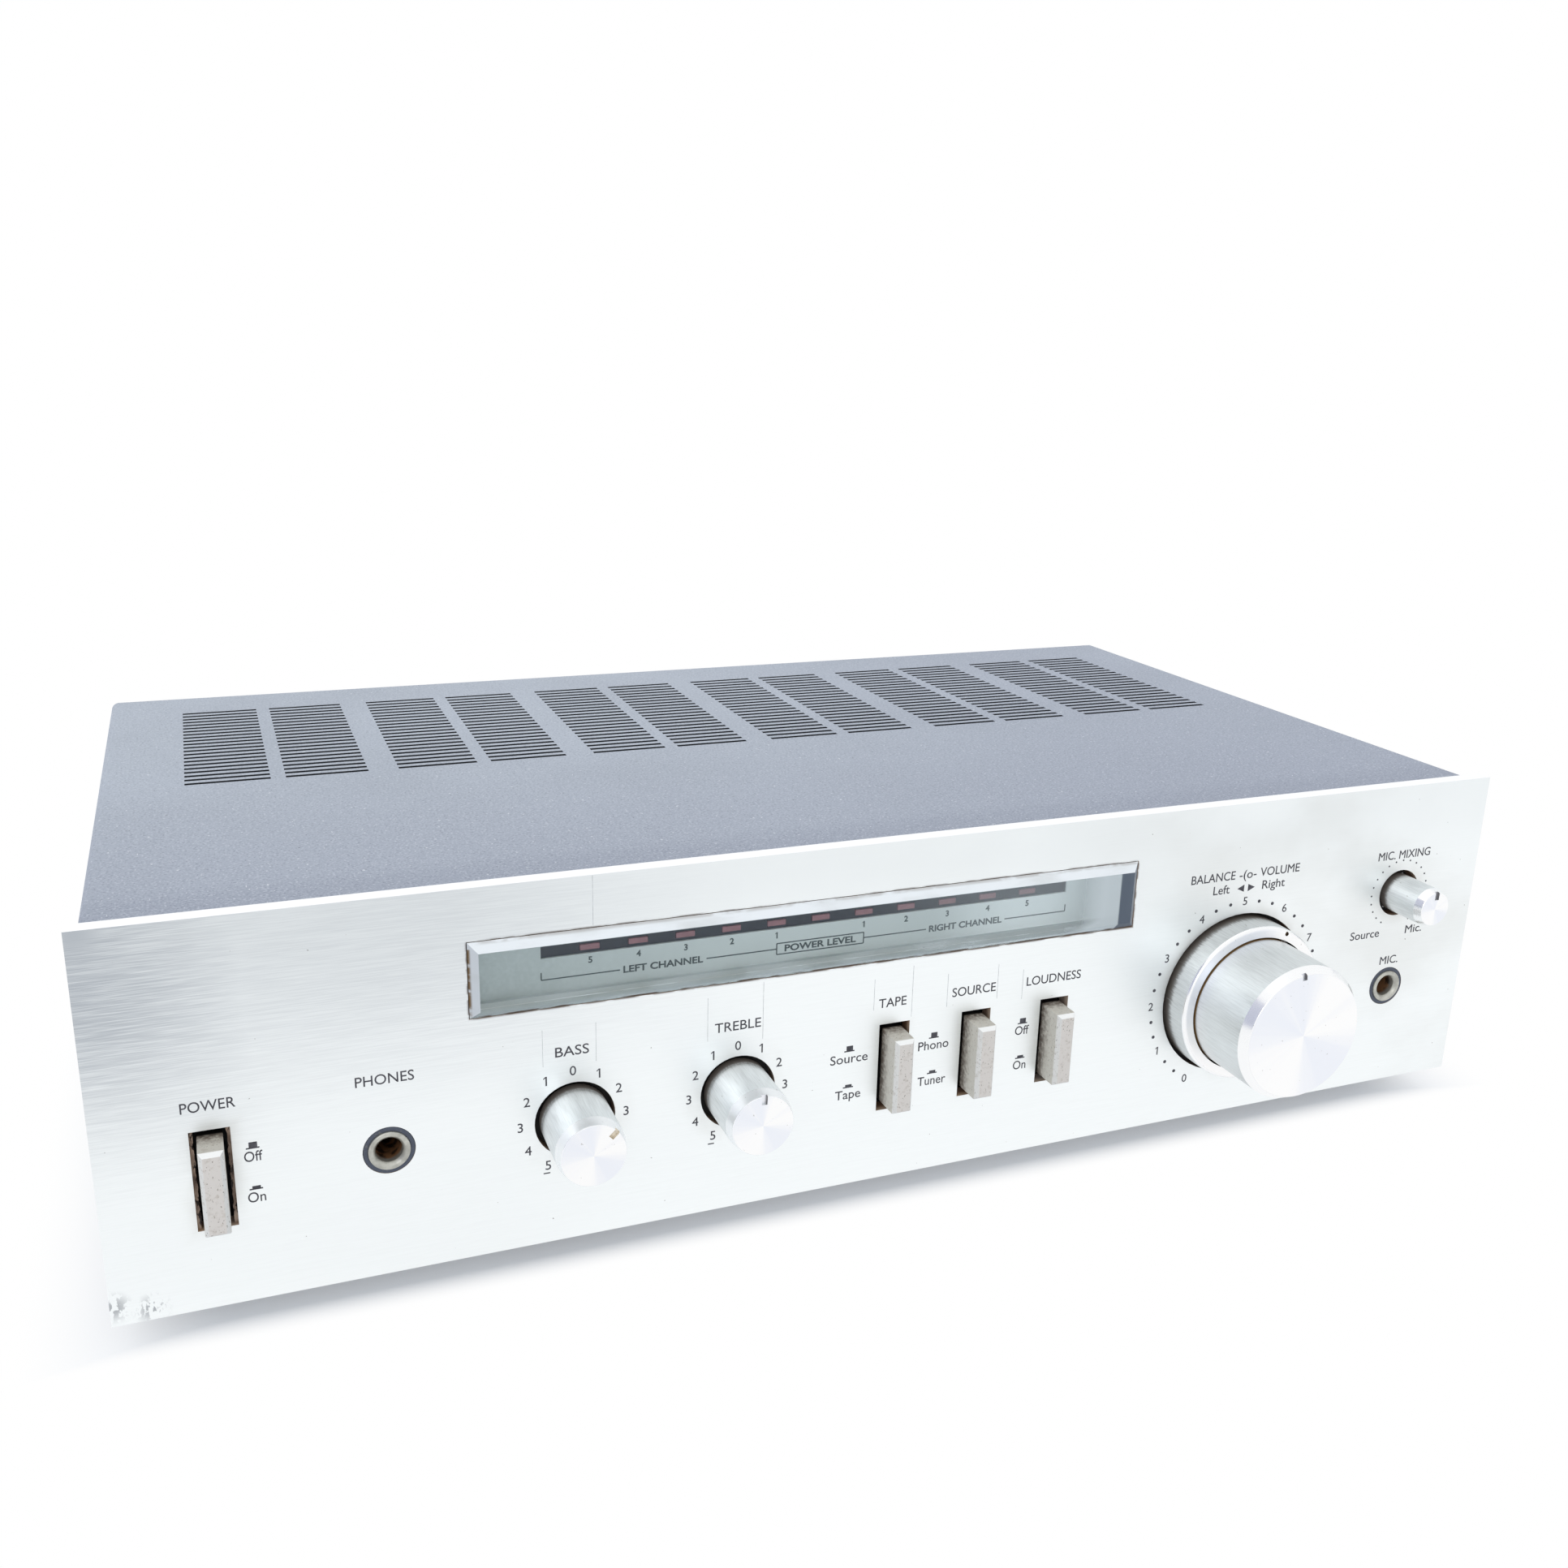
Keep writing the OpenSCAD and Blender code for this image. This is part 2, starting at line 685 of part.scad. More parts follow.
// Slots for the buttons, through the faceplate or the front panel
module button_slots(y0, y1) {
    for (x = button_xs)
        slab([x, button_z], slot_w, slot_h, y0, y1);
}

// Holes for the jacks' noses, through the faceplate or the front panel
module jack_holes(y0, y1) {
    for (place = jack_places)
        at(place) bar(jack_hole_r, y0, y1);
}

// Thick aluminium plate with its openings, and fixing studs on its back
module faceplate() framed("gainsboro") {
    difference() {
        box([-plate_half, 0, 0], [plate_half, plate_t, plate_h]);
        slab(window, win_w, win_h, -over, plate_t + over);
        button_slots(-over, plate_t + over);
        jack_holes(-over, plate_t + over);
        for (place = tone_places)
            at(place) bar(knob_hole_r, -over, plate_t + over);
        at(mix_place) bar(mix_hole_r, -over, plate_t + over);
        at(volume_place) bar(ring_hole_r, -over, plate_t + over);
    }
    for (place = stud_places)
        at(place) bar(stud_r, plate_t - over, plate_t + stud_l);
}

// Folded cover with its banks of slots and side screw holes
module top_cover() framed("slategray") difference() {
    translate([0, back_y, 0]) rotate([90, 0, 0]) linear_extrude(height = case_d) difference() {
        gate(case_half, case_z0, case_z1, bend_r);
        gate(case_half - cover_t, case_z0 - over, case_z1 - cover_t, bend_r - cover_t);
    }
    vent_slots_cut();
    side_screw_holes(case_half + over);
}

// All slots of the cover
module vent_slots_cut() {
    for (pair = [0 : vent_pairs - 1], bank = sides, slot = [0 : vent_slots - 1])
        translate([(pair - (vent_pairs - 1) / 2) * pair_pitch + bank * (vent_slot_l + vent_web) / 2,
                   back_y - vent_back - slot * vent_pitch, case_z1])
            cube([vent_slot_l, vent_slot_w, 2 * (cover_t + over)], center = true);
}

// Holes of the cover's side screws, through cover and tray
module side_screw_holes(reach) {
    for (x = sides, y = cover_screw_ys)
        translate([x * reach, y, cover_screw_z]) rotate([0, -x * 90, 0])
            post(hole_r, 0, reach - half_in + 2 * sheet_t);
}

// Shallow folded tray that carries everything
module chassis_tray() framed("silver") difference() {
    union() {
        box([-half_in, panel_y, case_z0], [half_in, rear_in, floor_z]);
        for (x = sides)
            slab([x * (half_in - sheet_t / 2), case_z0 + flange / 2], sheet_t, flange, panel_y, rear_in);
        box([-half_in, panel_y, case_z0], [half_in, panel_y + sheet_t, case_z0 + flange]);
        box([-half_in, rear_in - sheet_t, case_z0], [half_in, rear_in, case_z0 + flange]);
    }
    side_screw_holes(half_in + over);
    for (place = foot_places)
        translate(place) post(hole_r, case_z0 - over, floor_z + over);
    for (x = sides)
        translate([trafo_x + x * strap_screw_x, trafo_y]) post(hole_r, case_z0 - over, floor_z + over);
}

// Upright sheet that follows the inside of the cover, from y0 to y1
module upright(y0, y1)
    translate([0, y1, 0]) rotate([90, 0, 0]) linear_extrude(height = y1 - y0)
        gate(half_in, case_z0, roof_z, corner_r);

// Flange at the top of an upright, under the cover, from y0 to y1
module upright_flange(y0, y1) intersection() {
    upright(y0, y1);
    box([-half_in, y0, roof_z - sheet_t], [half_in, y1, roof_z + over]);
}

// Upright sheet behind the faceplate, with a flange under the cover
module front_subpanel() framed("silver") difference() {
    union() {
        upright(plate_t, panel_y);
        upright_flange(plate_t, plate_t + flange);
    }
    slab(window, view_w, view_h, plate_t - over, panel_y + over);
    button_slots(plate_t - over, panel_y + over);
    jack_holes(plate_t - over, panel_y + over);
    for (place = small_places)
        at(place) bar(bush_r + bush_gap, plate_t - over, panel_y + over);
    at(volume_place) bar(dual_bush_r + bush_gap, plate_t - over, panel_y + over);
    for (place = stud_places)
        at(place) bar(stud_hole_r, plate_t - over, panel_y + over);
}

// Upright sheet at the back, with a flange under the cover
module rear_panel() framed("dimgray") difference() {
    union() {
        upright(rear_in, rear_y);
        upright_flange(rear_y - flange, rear_y);
    }
    for (place = phono_places)
        at(place) bar(phono_hole_r, rear_in - over, rear_y + over);
    for (x = terminal_xs)
        at([x, rear_z]) bar(hole_r, rear_in - over, rear_y + over);
    at([ground_x, rear_z]) bar(hole_r, rear_in - over, rear_y + over);
    at(fuse_place) bar(fuse_hole_r, rear_in - over, rear_y + over);
    at(gland_place) bar(gland_hole_r, rear_in - over, rear_y + over);
}

// Screw with a cross recess, its head below z = 0 and its shank above
module screw(reach) difference() {
    union() {
        post(head_r, -head_h, 0);
        post(screw_r, -head_h / 2, reach);
    }
    for (turn = [0, 90])
        rotate(turn) translate([-recess_l / 2, -recess_w / 2, -head_h - over])
            cube([recess_l, recess_w, recess_d + over]);
}

// Rubber feet with a recess for the screw
module feet() framed("black") {
    for (place = foot_places)
        translate([place.x, place.y, case_z0 - foot_h]) rotate_extrude()
            polygon([[head_r + screw_gap, 0], [foot_r - foot_taper, 0], [foot_r, foot_h], [hole_r, foot_h],
                     [hole_r, foot_recess], [head_r + screw_gap, foot_recess]]);
}

module foot_screws() framed("silver") {
    for (place = foot_places)
        translate([place.x, place.y, case_z0 - foot_h + foot_recess])
            screw(foot_h - foot_recess + sheet_t + screw_out);
}

module cover_screws() framed("silver") {
    for (x = sides, y = cover_screw_ys)
        translate([x * case_half, y, cover_screw_z]) rotate([0, -x * 90, 0])
            screw(cover_t + sheet_gap + sheet_t + screw_out);
}

module faceplate_nuts() framed("silver") {
    for (place = stud_places)
        at(place) difference() {
            bar(stud_nut_r, panel_y, panel_y + stud_nut_t, 6);
            bar(stud_r + fit_gap, panel_y - over, panel_y + stud_nut_t + over);
        }
}

// Clear block in the window, seated on the front panel's lip
module window_lens() framed("lightcyan") at(window)
    bevelled_block(win_w - 2 * lens_gap, win_h - 2 * lens_gap, -lens_proud, plate_t,
                   lens_bevel, lens_proud);

// Dark frame between the front panel and the scale, with a post at each end for the board
module display_frame() framed("black") {
    difference() {
        slab(window, frame_w, view_h + 2 * frame_wall, panel_y, scale_y);
        slab(window, view_w, view_h, panel_y - over, scale_y + over);
    }
    for (x = sides)
        at([win_x + x * post_x, win_z]) bar(post_r, panel_y, led_board_y);
}

// Plate behind the lens with a long slot for the lamps
module scale_plate() framed("darkseagreen") difference() {
    slab(window, view_w + 2 * scale_lap, view_h + 2 * scale_lap, scale_y, holder_y);
    slab([win_x, led_z], strip_w, strip_h, scale_y - over, holder_y + over);
}

// Dark strip behind the scale's slot, with a pocket for each lamp
module led_holder() framed("black") difference() {
    slab([win_x, led_z], strip_w + 2 * scale_lap, holder_h, holder_y, led_board_y);
    for (x = led_xs)
        slab([x, led_z], led_w + 2 * led_gap, led_h + 2 * led_gap, holder_y - over, led_board_y + over);
}

module leds() framed("firebrick") {
    for (x = led_xs)
        slab([x, led_z], led_w, led_h, scale_y + led_sink, led_board_y);
}

module led_board() framed("darkgreen")
    slab(window, 2 * (post_x + post_r), led_board_h, led_board_y, led_board_y + board_t);

// Switch bracket on ears in front of one or more switches, with a channel for each plunger
module switch_bank(xs) {
    middle = (xs[0] + xs[len(xs) - 1]) / 2;
    wide = xs[len(xs) - 1] - xs[0] + switch_w;
    difference() {
        union() {
            slab([middle, button_z], wide, slot_h + 2 * ear_h, switch_y, switch_y + sheet_t);
            for (z = sides)
                slab([middle, button_z + z * (slot_h + ear_h) / 2], wide, ear_h,
                     panel_y, switch_y + sheet_t);
            for (x = xs)
                slab([x, button_z], switch_w, switch_h, switch_y, switch_end);
        }
        for (x = xs)
            slab([x, button_z], plunger_w + 2 * slide_gap, plunger_h + 2 * slide_gap,
                 switch_y - over, switch_end - switch_wall);
    }
}

module power_switch() framed("dimgray") switch_bank([power_x]);
module selector_switches() framed("dimgray") switch_bank(selector_xs);

// Bevelled push-button cap with a socket for its plunger
module button_cap(x) framed("tan") at([x, button_z]) difference() {
    bevelled_block(button_w, button_h, -button_proud, cap_root, button_bevel, button_bevel_d);
    slab([0, 0], plunger_w + 2 * grip_gap, plunger_h + 2 * grip_gap, plunger_front, cap_root + over);
}

module plunger(x) framed("ivory") slab([x, button_z], plunger_w, plunger_h, plunger_front, plunger_end);

module power_button() button_cap(button_xs[0]);
module tape_button() button_cap(button_xs[1]);
module source_button() button_cap(button_xs[2]);
module loudness_button() button_cap(button_xs[3]);
module power_plunger() plunger(button_xs[0]);
module tape_plunger() plunger(button_xs[1]);
module source_plunger() plunger(button_xs[2]);
module loudness_plunger() plunger(button_xs[3]);

// Rotary control with one shaft bore
module small_pot(place) framed("silver") at(place) turned([
    [bush_r, bush_front], [bush_r, panel_y], [pot_r, panel_y], [pot_r, panel_y + pot_d],
    [0, panel_y + pot_d], [0, pot_end], [shaft_r + run_gap, pot_end], [shaft_r + run_gap, bush_front]]);

module bass_pot() small_pot(tone_places[0]);
module treble_pot() small_pot(tone_places[1]);
module mix_pot() small_pot(mix_place);

// Double control: the front half reads the balance tube, the back half the volume shaft
module volume_pot() framed("silver") at(volume_place) turned([
    [dual_bush_r, bush_front], [dual_bush_r, panel_y], [dual_r, panel_y], [dual_r, balance_end + dual_back],
    [0, balance_end + dual_back], [0, volume_end], [shaft_r + run_gap, volume_end],
    [shaft_r + run_gap, balance_end], [tube_r + run_gap, balance_end], [tube_r + run_gap, bush_front]]);

// Hexagon nuts that clamp the controls to the front panel
module pot_nuts() framed("silver") {
    for (place = small_places)
        at(place) control_nut(bush_r);
    at(volume_place) control_nut(dual_bush_r);
}

module control_nut(r) difference() {
    bar(r + nut_rim, plate_t - nut_t, plate_t, 6);
    bar(r + fit_gap, plate_t - nut_t - over, plate_t + over);
}

// Saw cut across a knob's front edge, at a clockwise angle from straight up
module pointer_notch(r, proud, turn) rotate([0, turn, 0])
    box([-notch_w / 2, -proud - over, r - notch_l], [notch_w / 2, -proud + notch_d, r + over]);

// Solid turned knob with a blind shaft bore
module small_knob(place, r, proud, bevel, taper, turn) framed("silver") at(place) difference() {
    turned([[0, -proud], [r - bevel, -proud], [r, taper - proud], [r, knob_back],
            [shaft_r + fit_gap, knob_back], [shaft_r + fit_gap, knob_face - proud],
            [0, knob_face - proud]]);
    pointer_notch(r, proud, turn);
}

module small_shaft(place, proud) framed("goldenrod") at(place)
    bar(shaft_r, knob_face - proud, pot_end - run_gap);

module bass_knob() small_knob(tone_places[0], knob_r, knob_proud, knob_bevel, knob_taper, bass_turn);
module treble_knob() small_knob(tone_places[1], knob_r, knob_proud, knob_bevel, knob_taper, treble_turn);
module mix_knob() small_knob(mix_place, mix_r, mix_proud, mix_bevel, mix_taper, mix_turn);
module bass_shaft() small_shaft(tone_places[0], knob_proud);
module treble_shaft() small_shaft(tone_places[1], knob_proud);
module mix_shaft() small_shaft(mix_place, mix_proud);

// Large hollow knob whose back end turns inside the balance ring
module volume_knob() framed("silver") at(volume_place) difference() {
    turned([[0, -volume_proud], [volume_r - volume_bevel, -volume_proud],
            [volume_r, volume_taper - volume_proud], [volume_r, volume_back],
            [volume_r - volume_wall, volume_back], [volume_r - volume_wall, volume_back - volume_hollow],
            [hub_r, volume_back - volume_hollow], [hub_r, volume_back],
            [shaft_r + fit_gap, volume_back],
            [shaft_r + fit_gap, knob_face - volume_proud], [0, knob_face - volume_proud]]);
    pointer_notch(volume_r, volume_proud, volume_turn);
}

module volume_shaft() framed("goldenrod") at(volume_place)
    bar(shaft_r, knob_face - volume_proud, volume_end - run_gap);

// Cup-shaped ring with a rounded lip and a pointer dot, on its own tube shaft
module balance_ring() framed("silver") at(volume_place) difference() {
    turned(concat(
        [[ring_in_r, -ring_proud]],
        [for (i = [0 : lip_steps]) let (a = 90 * i / lip_steps)
            [ring_r - ring_lip * (1 - sin(a)), -ring_proud + ring_lip * (1 - cos(a))]],
        [[ring_r, ring_back], [ring_in_r, ring_back], [ring_in_r, cup_y + ring_floor],
         [tube_r + fit_gap, cup_y + ring_floor], [tube_r + fit_gap, cup_y], [ring_in_r, cup_y]]));
    rotate([0, balance_turn, 0]) at([0, ring_r - dot_in])
        bar(dot_r, -ring_proud - over, dot_d - ring_proud);
}

module balance_shaft() framed("goldenrod") at(volume_place) difference() {
    bar(tube_r, cup_y, balance_end - run_gap);
    bar(tube_bore_r, cup_y - over, balance_end + over);
}

// Moulded jack body with a round nose in the faceplate
module jack_housing(place) framed("darkslategray") at(place) difference() {
    union() {
        bar(jack_nose_r, 0, panel_y + over);
        slab([0, 0], jack_body, jack_body, panel_y, jack_depth + jack_wall);
    }
    bar(jack_bush_r + fit_gap, -over, jack_bush_end);
    bar(jack_bore_r + jack_relief, 0, jack_depth);
}

// Nickel bush with a countersunk mouth
module jack_sleeve(place) framed("silver") at(place) turned([
    [jack_bush_r, -jack_proud], [jack_bush_r, jack_bush_end], [jack_bore_r, jack_bush_end],
    [jack_bore_r, jack_mouth - jack_proud], [jack_bore_r + jack_mouth, -jack_proud]]);

module phones_jack_body() jack_housing(jack_places[0]);
module phones_jack_bush() jack_sleeve(jack_places[0]);
module mic_jack_body() jack_housing(jack_places[1]);
module mic_jack_bush() jack_sleeve(jack_places[1]);

// Iron core with two windows for the coil
module transformer_core() framed("dimgray") translate([trafo_x, trafo_y, floor_z]) difference() {
    box([-core_w / 2, -core_d / 2, 0], [core_w / 2, core_d / 2, core_h]);
    for (x = sides)
        slab([x * (core_leg + window_w / 2), core_h / 2], window_w, core_h - 2 * core_leg,
             -core_d / 2 - over, core_d / 2 + over);
}

// Coil round the core's middle leg
module transformer_coil() framed("sienna") translate([trafo_x, trafo_y, floor_z + core_leg + coil_gap])
    linear_extrude(height = core_h - 2 * core_leg - 2 * coil_gap) difference() {
        round_rect(2 * (core_leg + window_w - coil_gap), core_d + 2 * (window_w - coil_gap), coil_round);
        square([2 * (core_leg + coil_gap), core_d + 2 * coil_gap], center = true);
    }

// Strap over the core with a foot at each side
module transformer_frame() framed("silver") translate([trafo_x, trafo_y, floor_z]) difference() {
    union() {
        slab([0, core_h + strap_t / 2], strap_w, strap_t, -core_d / 2, core_d / 2);
        for (x = sides) {
            slab([x * (core_w + strap_t) / 2, (core_h + strap_t) / 2], strap_t, core_h + strap_t,
                 -core_d / 2, core_d / 2);
            slab([x * (core_w + strap_t + strap_foot) / 2, strap_t / 2], strap_t + strap_foot, strap_t,
                 -core_d / 2, core_d / 2);
        }
    }
    for (x = sides)
        translate([x * strap_screw_x, 0]) post(hole_r, -over, strap_t + over);
}

module transformer_screws() framed("silver") {
    for (x = sides)
        translate([trafo_x + x * strap_screw_x, trafo_y, floor_z + strap_t]) rotate([180, 0, 0])
            screw(strap_t + sheet_t);
}

module amplifier_board() framed("darkgreen")
    slab([board_x, board_z + board_t / 2], board_w, board_t, board_front, board_back);

module board_standoffs() framed("ivory") {
    for (place = standoff_places)
        translate(place) post(standoff_r, floor_z, board_z);
}

// Two large capacitors standing on the board
module filter_capacitors() framed("midnightblue") {
    for (x = sides)
        translate([board_x + x * cap_pitch / 2, board_front + cap_in])
            post(cap_r, board_top, board_top + cap_h);
}

// Finned aluminium heat sink standing on the tray
module heat_sink() framed("gray") translate([board_x, sink_y, floor_z]) {
    slab([0, sink_h / 2], sink_w, sink_h, 0, sink_t);
    for (i = [0 : fin_n - 1])
        slab([(sink_w - fin_t) * (i / (fin_n - 1) - 0.5), sink_h / 2], fin_t, sink_h,
             sink_t / 2, sink_t + fin_l);
}

// Power transistors on the heat sink's face, with three legs each to the board
module power_transistors() framed("black") {
    for (x = device_xs)
        translate([x, sink_y - device_t, board_top]) {
            slab([0, leg_l + device_h / 2], device_w, device_h, 0, device_t);
            for (i = [-1 : 1])
                translate([i * leg_pitch, device_t / 2]) post(leg_r, 0, leg_l + leg_r);
        }
}

// Signal sockets: collar and pin bore outside, neck and solder lug inside
module phono_sockets() framed("white") {
    for (place = phono_places)
        at(place) turned([
            [phono_bore_r, phono_mouth], [phono_r, phono_mouth], [phono_r, rear_y + phono_flange_t],
            [phono_flange_r, rear_y + phono_flange_t], [phono_flange_r, rear_y], [phono_neck_r, rear_y],
            [phono_neck_r, rear_in], [phono_r, rear_in], [phono_r, rear_in - phono_flange_t],
            [0, rear_in - phono_flange_t], [0, rear_y + phono_flange_t],
            [phono_bore_r, rear_y + phono_flange_t]]);
}

// Moulded strip with a barrier at each side of every screw
module speaker_terminals() framed("saddlebrown") difference() {
    union() {
        slab([speaker_x, rear_z], speaker_w, speaker_h, rear_y, rear_y + speaker_d);
        for (i = [0 : speaker_n])
            slab([speaker_x + (i - speaker_n / 2) * speaker_pitch, rear_z], barrier_t, speaker_h,
                 rear_y, rear_y + speaker_d + barrier_out);
    }
    for (x = terminal_xs)
        at([x, rear_z]) bar(hole_r, rear_y - over, rear_y + speaker_d + over);
}

module terminal_screws() framed("silver") {
    for (x = terminal_xs)
        translate([x, rear_y + speaker_d, rear_z]) rotate([90, 0, 0])
            screw(speaker_d + sheet_t + screw_out);
}

// Round grip along the depth with grooves round it
module grip(r, y0, y1, grooves) difference() {
    bar(r, y0, y1);
    for (i = [0 : grooves - 1])
        rotate([0, 360 * i / grooves, 0]) at([0, r]) bar(groove_r, y0 - over, y1 + over);
}

// Bolt with a knurled nut outside and a plain nut inside
module ground_terminal() framed("silver") at([ground_x, rear_z]) {
    bar(screw_r, rear_in - screw_out, rear_y + ground_l + screw_out / 2);
    grip(ground_r, rear_y, rear_y + ground_l, ground_grooves);
    bar(head_r, rear_in - head_h, rear_in, 6);
}

// Fuse holder: grooved cap with a coin slot and rim outside, nut and body inside
module fuse_holder() framed("black") at(fuse_place) {
    bar(fuse_r, rear_in - fuse_l, rear_y + over);
    difference() {
        grip(fuse_r, rear_y, rear_y + fuse_cap_l, fuse_grooves);
        slab([0, 0], 2 * (fuse_r + over), coin_w, rear_y + fuse_cap_l - coin_d, rear_y + fuse_cap_l + over);
    }
    bar(fuse_r + rim_w, rear_y, rear_y + rim_t / 2);
    bar(fuse_r + rim_w, rear_in - rim_t, rear_in, 6);
}

// Bush for a mains lead
module mains_gland() framed("black") at(gland_place) turned([
    [gland_bore_r, rear_in - rim_t], [gland_bore_r, rear_y + rim_t], [gland_r + rim_w, rear_y + rim_t],
    [gland_r + rim_w, rear_y], [gland_r, rear_y], [gland_r, rear_in], [gland_r + rim_w / 2, rear_in],
    [gland_r + rim_w / 2, rear_in - rim_t]]);

faceplate();
top_cover();
chassis_tray();
front_subpanel();
rear_panel();
feet();
foot_screws();
cover_screws();
faceplate_nuts();
window_lens();
display_frame();
scale_plate();
led_holder();
leds();
led_board();
power_switch();
power_button();
power_plunger();
selector_switches();
tape_button();
tape_plunger();
source_button();
source_plunger();
loudness_button();
loudness_plunger();
bass_pot();
treble_pot();
volume_pot();
mix_pot();
pot_nuts();
bass_knob();
bass_shaft();
treble_knob();
treble_shaft();
volume_knob();
volume_shaft();
balance_ring();
balance_shaft();
mix_knob();
mix_shaft();
phones_jack_body();
phones_jack_bush();
mic_jack_body();
mic_jack_bush();
transformer_core();
transformer_coil();
transformer_frame();
transformer_screws();
amplifier_board();
board_standoffs();
filter_capacitors();
heat_sink();
power_transistors();
phono_sockets();
speaker_terminals();
terminal_screws();
ground_terminal();
fuse_holder();
mains_gland();
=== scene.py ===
"""Looks of a stereo amplifier: its finishes, printed words and rounded pieces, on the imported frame."""

import json
import math
from contextlib import contextmanager
from functools import reduce

import bpy
from mathutils import Matrix, Vector


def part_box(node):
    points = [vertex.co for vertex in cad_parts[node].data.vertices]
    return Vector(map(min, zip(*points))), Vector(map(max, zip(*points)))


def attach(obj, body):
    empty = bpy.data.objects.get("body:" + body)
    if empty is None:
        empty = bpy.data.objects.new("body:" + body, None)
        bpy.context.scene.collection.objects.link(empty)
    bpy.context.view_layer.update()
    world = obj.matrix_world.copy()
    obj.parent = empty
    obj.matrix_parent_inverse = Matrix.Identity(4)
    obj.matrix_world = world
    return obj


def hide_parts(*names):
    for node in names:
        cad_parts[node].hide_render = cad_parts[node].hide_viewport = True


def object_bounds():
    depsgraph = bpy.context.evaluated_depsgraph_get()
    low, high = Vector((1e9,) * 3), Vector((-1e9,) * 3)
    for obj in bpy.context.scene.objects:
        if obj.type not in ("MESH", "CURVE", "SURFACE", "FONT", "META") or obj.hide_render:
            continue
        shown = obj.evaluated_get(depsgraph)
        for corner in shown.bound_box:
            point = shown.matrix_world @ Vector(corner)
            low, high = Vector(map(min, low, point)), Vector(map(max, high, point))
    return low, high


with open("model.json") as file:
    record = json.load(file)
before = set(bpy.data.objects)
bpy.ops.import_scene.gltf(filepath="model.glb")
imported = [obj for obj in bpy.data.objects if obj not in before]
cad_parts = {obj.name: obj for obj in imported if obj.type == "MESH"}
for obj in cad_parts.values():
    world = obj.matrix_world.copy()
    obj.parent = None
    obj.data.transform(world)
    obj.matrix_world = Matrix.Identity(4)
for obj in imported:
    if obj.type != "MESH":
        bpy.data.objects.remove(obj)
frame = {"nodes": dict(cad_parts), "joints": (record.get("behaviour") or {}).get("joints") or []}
cad_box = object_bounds()

bl_info = {
    "name": "Stereo amplifier",
    "version": (1, 0, 0),
    "blender": (4, 5, 0),
    "location": "3D View > Sidebar > Amplifier",
    "description": "Finishes, printing and rounded pieces of a stereo amplifier",
    "category": "Object",
}

MM = 0.001
BODY = "amplifier"
BUTTONS = ("power", "tape", "source", "loudness")
PLATE_LOW, PLATE_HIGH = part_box("faceplate")
FRONT = PLATE_LOW.y
SCALE_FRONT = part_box("scale_plate")[0].y
WHITE = (1.0, 1.0, 1.0)
# Width, length and depth of a pointer notch
NOTCH = (1.5 * MM, 3 * MM, 0.8 * MM)
# Flag of a printed one in letter heights: distance to the left and upwards, length and thickness
FLAG = (0.09, 0.36, 0.32, 0.1)
FLAG_TURN = math.radians(42)
# Angles between faces from which an edge is rounded, and up to which faces are one flat face
SHARP = math.radians(25)
FLAT = math.radians(0.5)
MERGE = 0.001 * MM
INK_MERGE = 0.0005 * MM


def srgb(red, green, blue):
    """Linear colour of a screen colour given from 0 to 255."""
    return tuple(v / 12.92 if v <= 0.04045 else ((v + 0.055) / 1.055) ** 2.4
                 for v in (red / 255, green / 255, blue / 255))


def colour_setting(name, description, default):
    """Setting for one colour of a finish."""
    return bpy.props.FloatVectorProperty(name=name, description=description, subtype="COLOR",
                                         min=0, max=1, default=default)


def number_setting(name, description, default, **kind):
    """Setting for one number, such as a power or a share."""
    return bpy.props.FloatProperty(name=name, description=description, default=default, **kind)


def length_setting(name, description, default):
    """Setting for one length in metres."""
    return number_setting(name, description, default, unit="LENGTH")


def angle_setting(name, description, degrees):
    """Setting for one angle, given in degrees."""
    return number_setting(name, description, math.radians(degrees), subtype="ANGLE")


class AmplifierFinishes(bpy.types.PropertyGroup):
    """Colours of the finishes."""

    plate: colour_setting("Faceplate", "Brushed silver of the faceplate", srgb(250, 254, 255))
    # Painted reflection: grey of a shaded floor mirrored at the faceplate's left end
    plate_shade: colour_setting("Faceplate shade", "Greyer silver at the left end", srgb(178, 184, 191))
    grime: colour_setting("Grime", "Old dirt in cut-outs and corners", srgb(132, 100, 78))
    paint: colour_setting("Cover paint", "Blue-grey paint of the cover", srgb(170, 178, 190))
    knob: colour_setting("Knobs", "Turned aluminium of the knobs", srgb(240, 244, 245))
    notch: colour_setting("Pointer", "Beige paint in the bass pointer notch", srgb(206, 196, 178))
    button: colour_setting("Buttons", "Beige-grey plastic of the buttons", srgb(213, 206, 199))
    scale: colour_setting("Scale", "Grey-green paint of the scale", srgb(181, 185, 184))
    strip: colour_setting("Lamp strip", "Dark strip behind the lamps", srgb(22, 25, 38))
    lamp: colour_setting("Lamps", "Dull red of the unlit lamps", srgb(146, 98, 104))
    ink: colour_setting("Ink", "Dark grey ink of the printed words", srgb(56, 55, 62))
    jack: colour_setting("Jack body", "Dark blue-grey plastic of the jacks", srgb(74, 80, 94))
    nickel: colour_setting("Nickel", "Plating of the jack bushes", srgb(200, 200, 192))
    zinc: colour_setting("Zinc", "Plating of the chassis and screws", srgb(196, 199, 202))
    rubber: colour_setting("Rubber", "Feet", srgb(38, 38, 40))


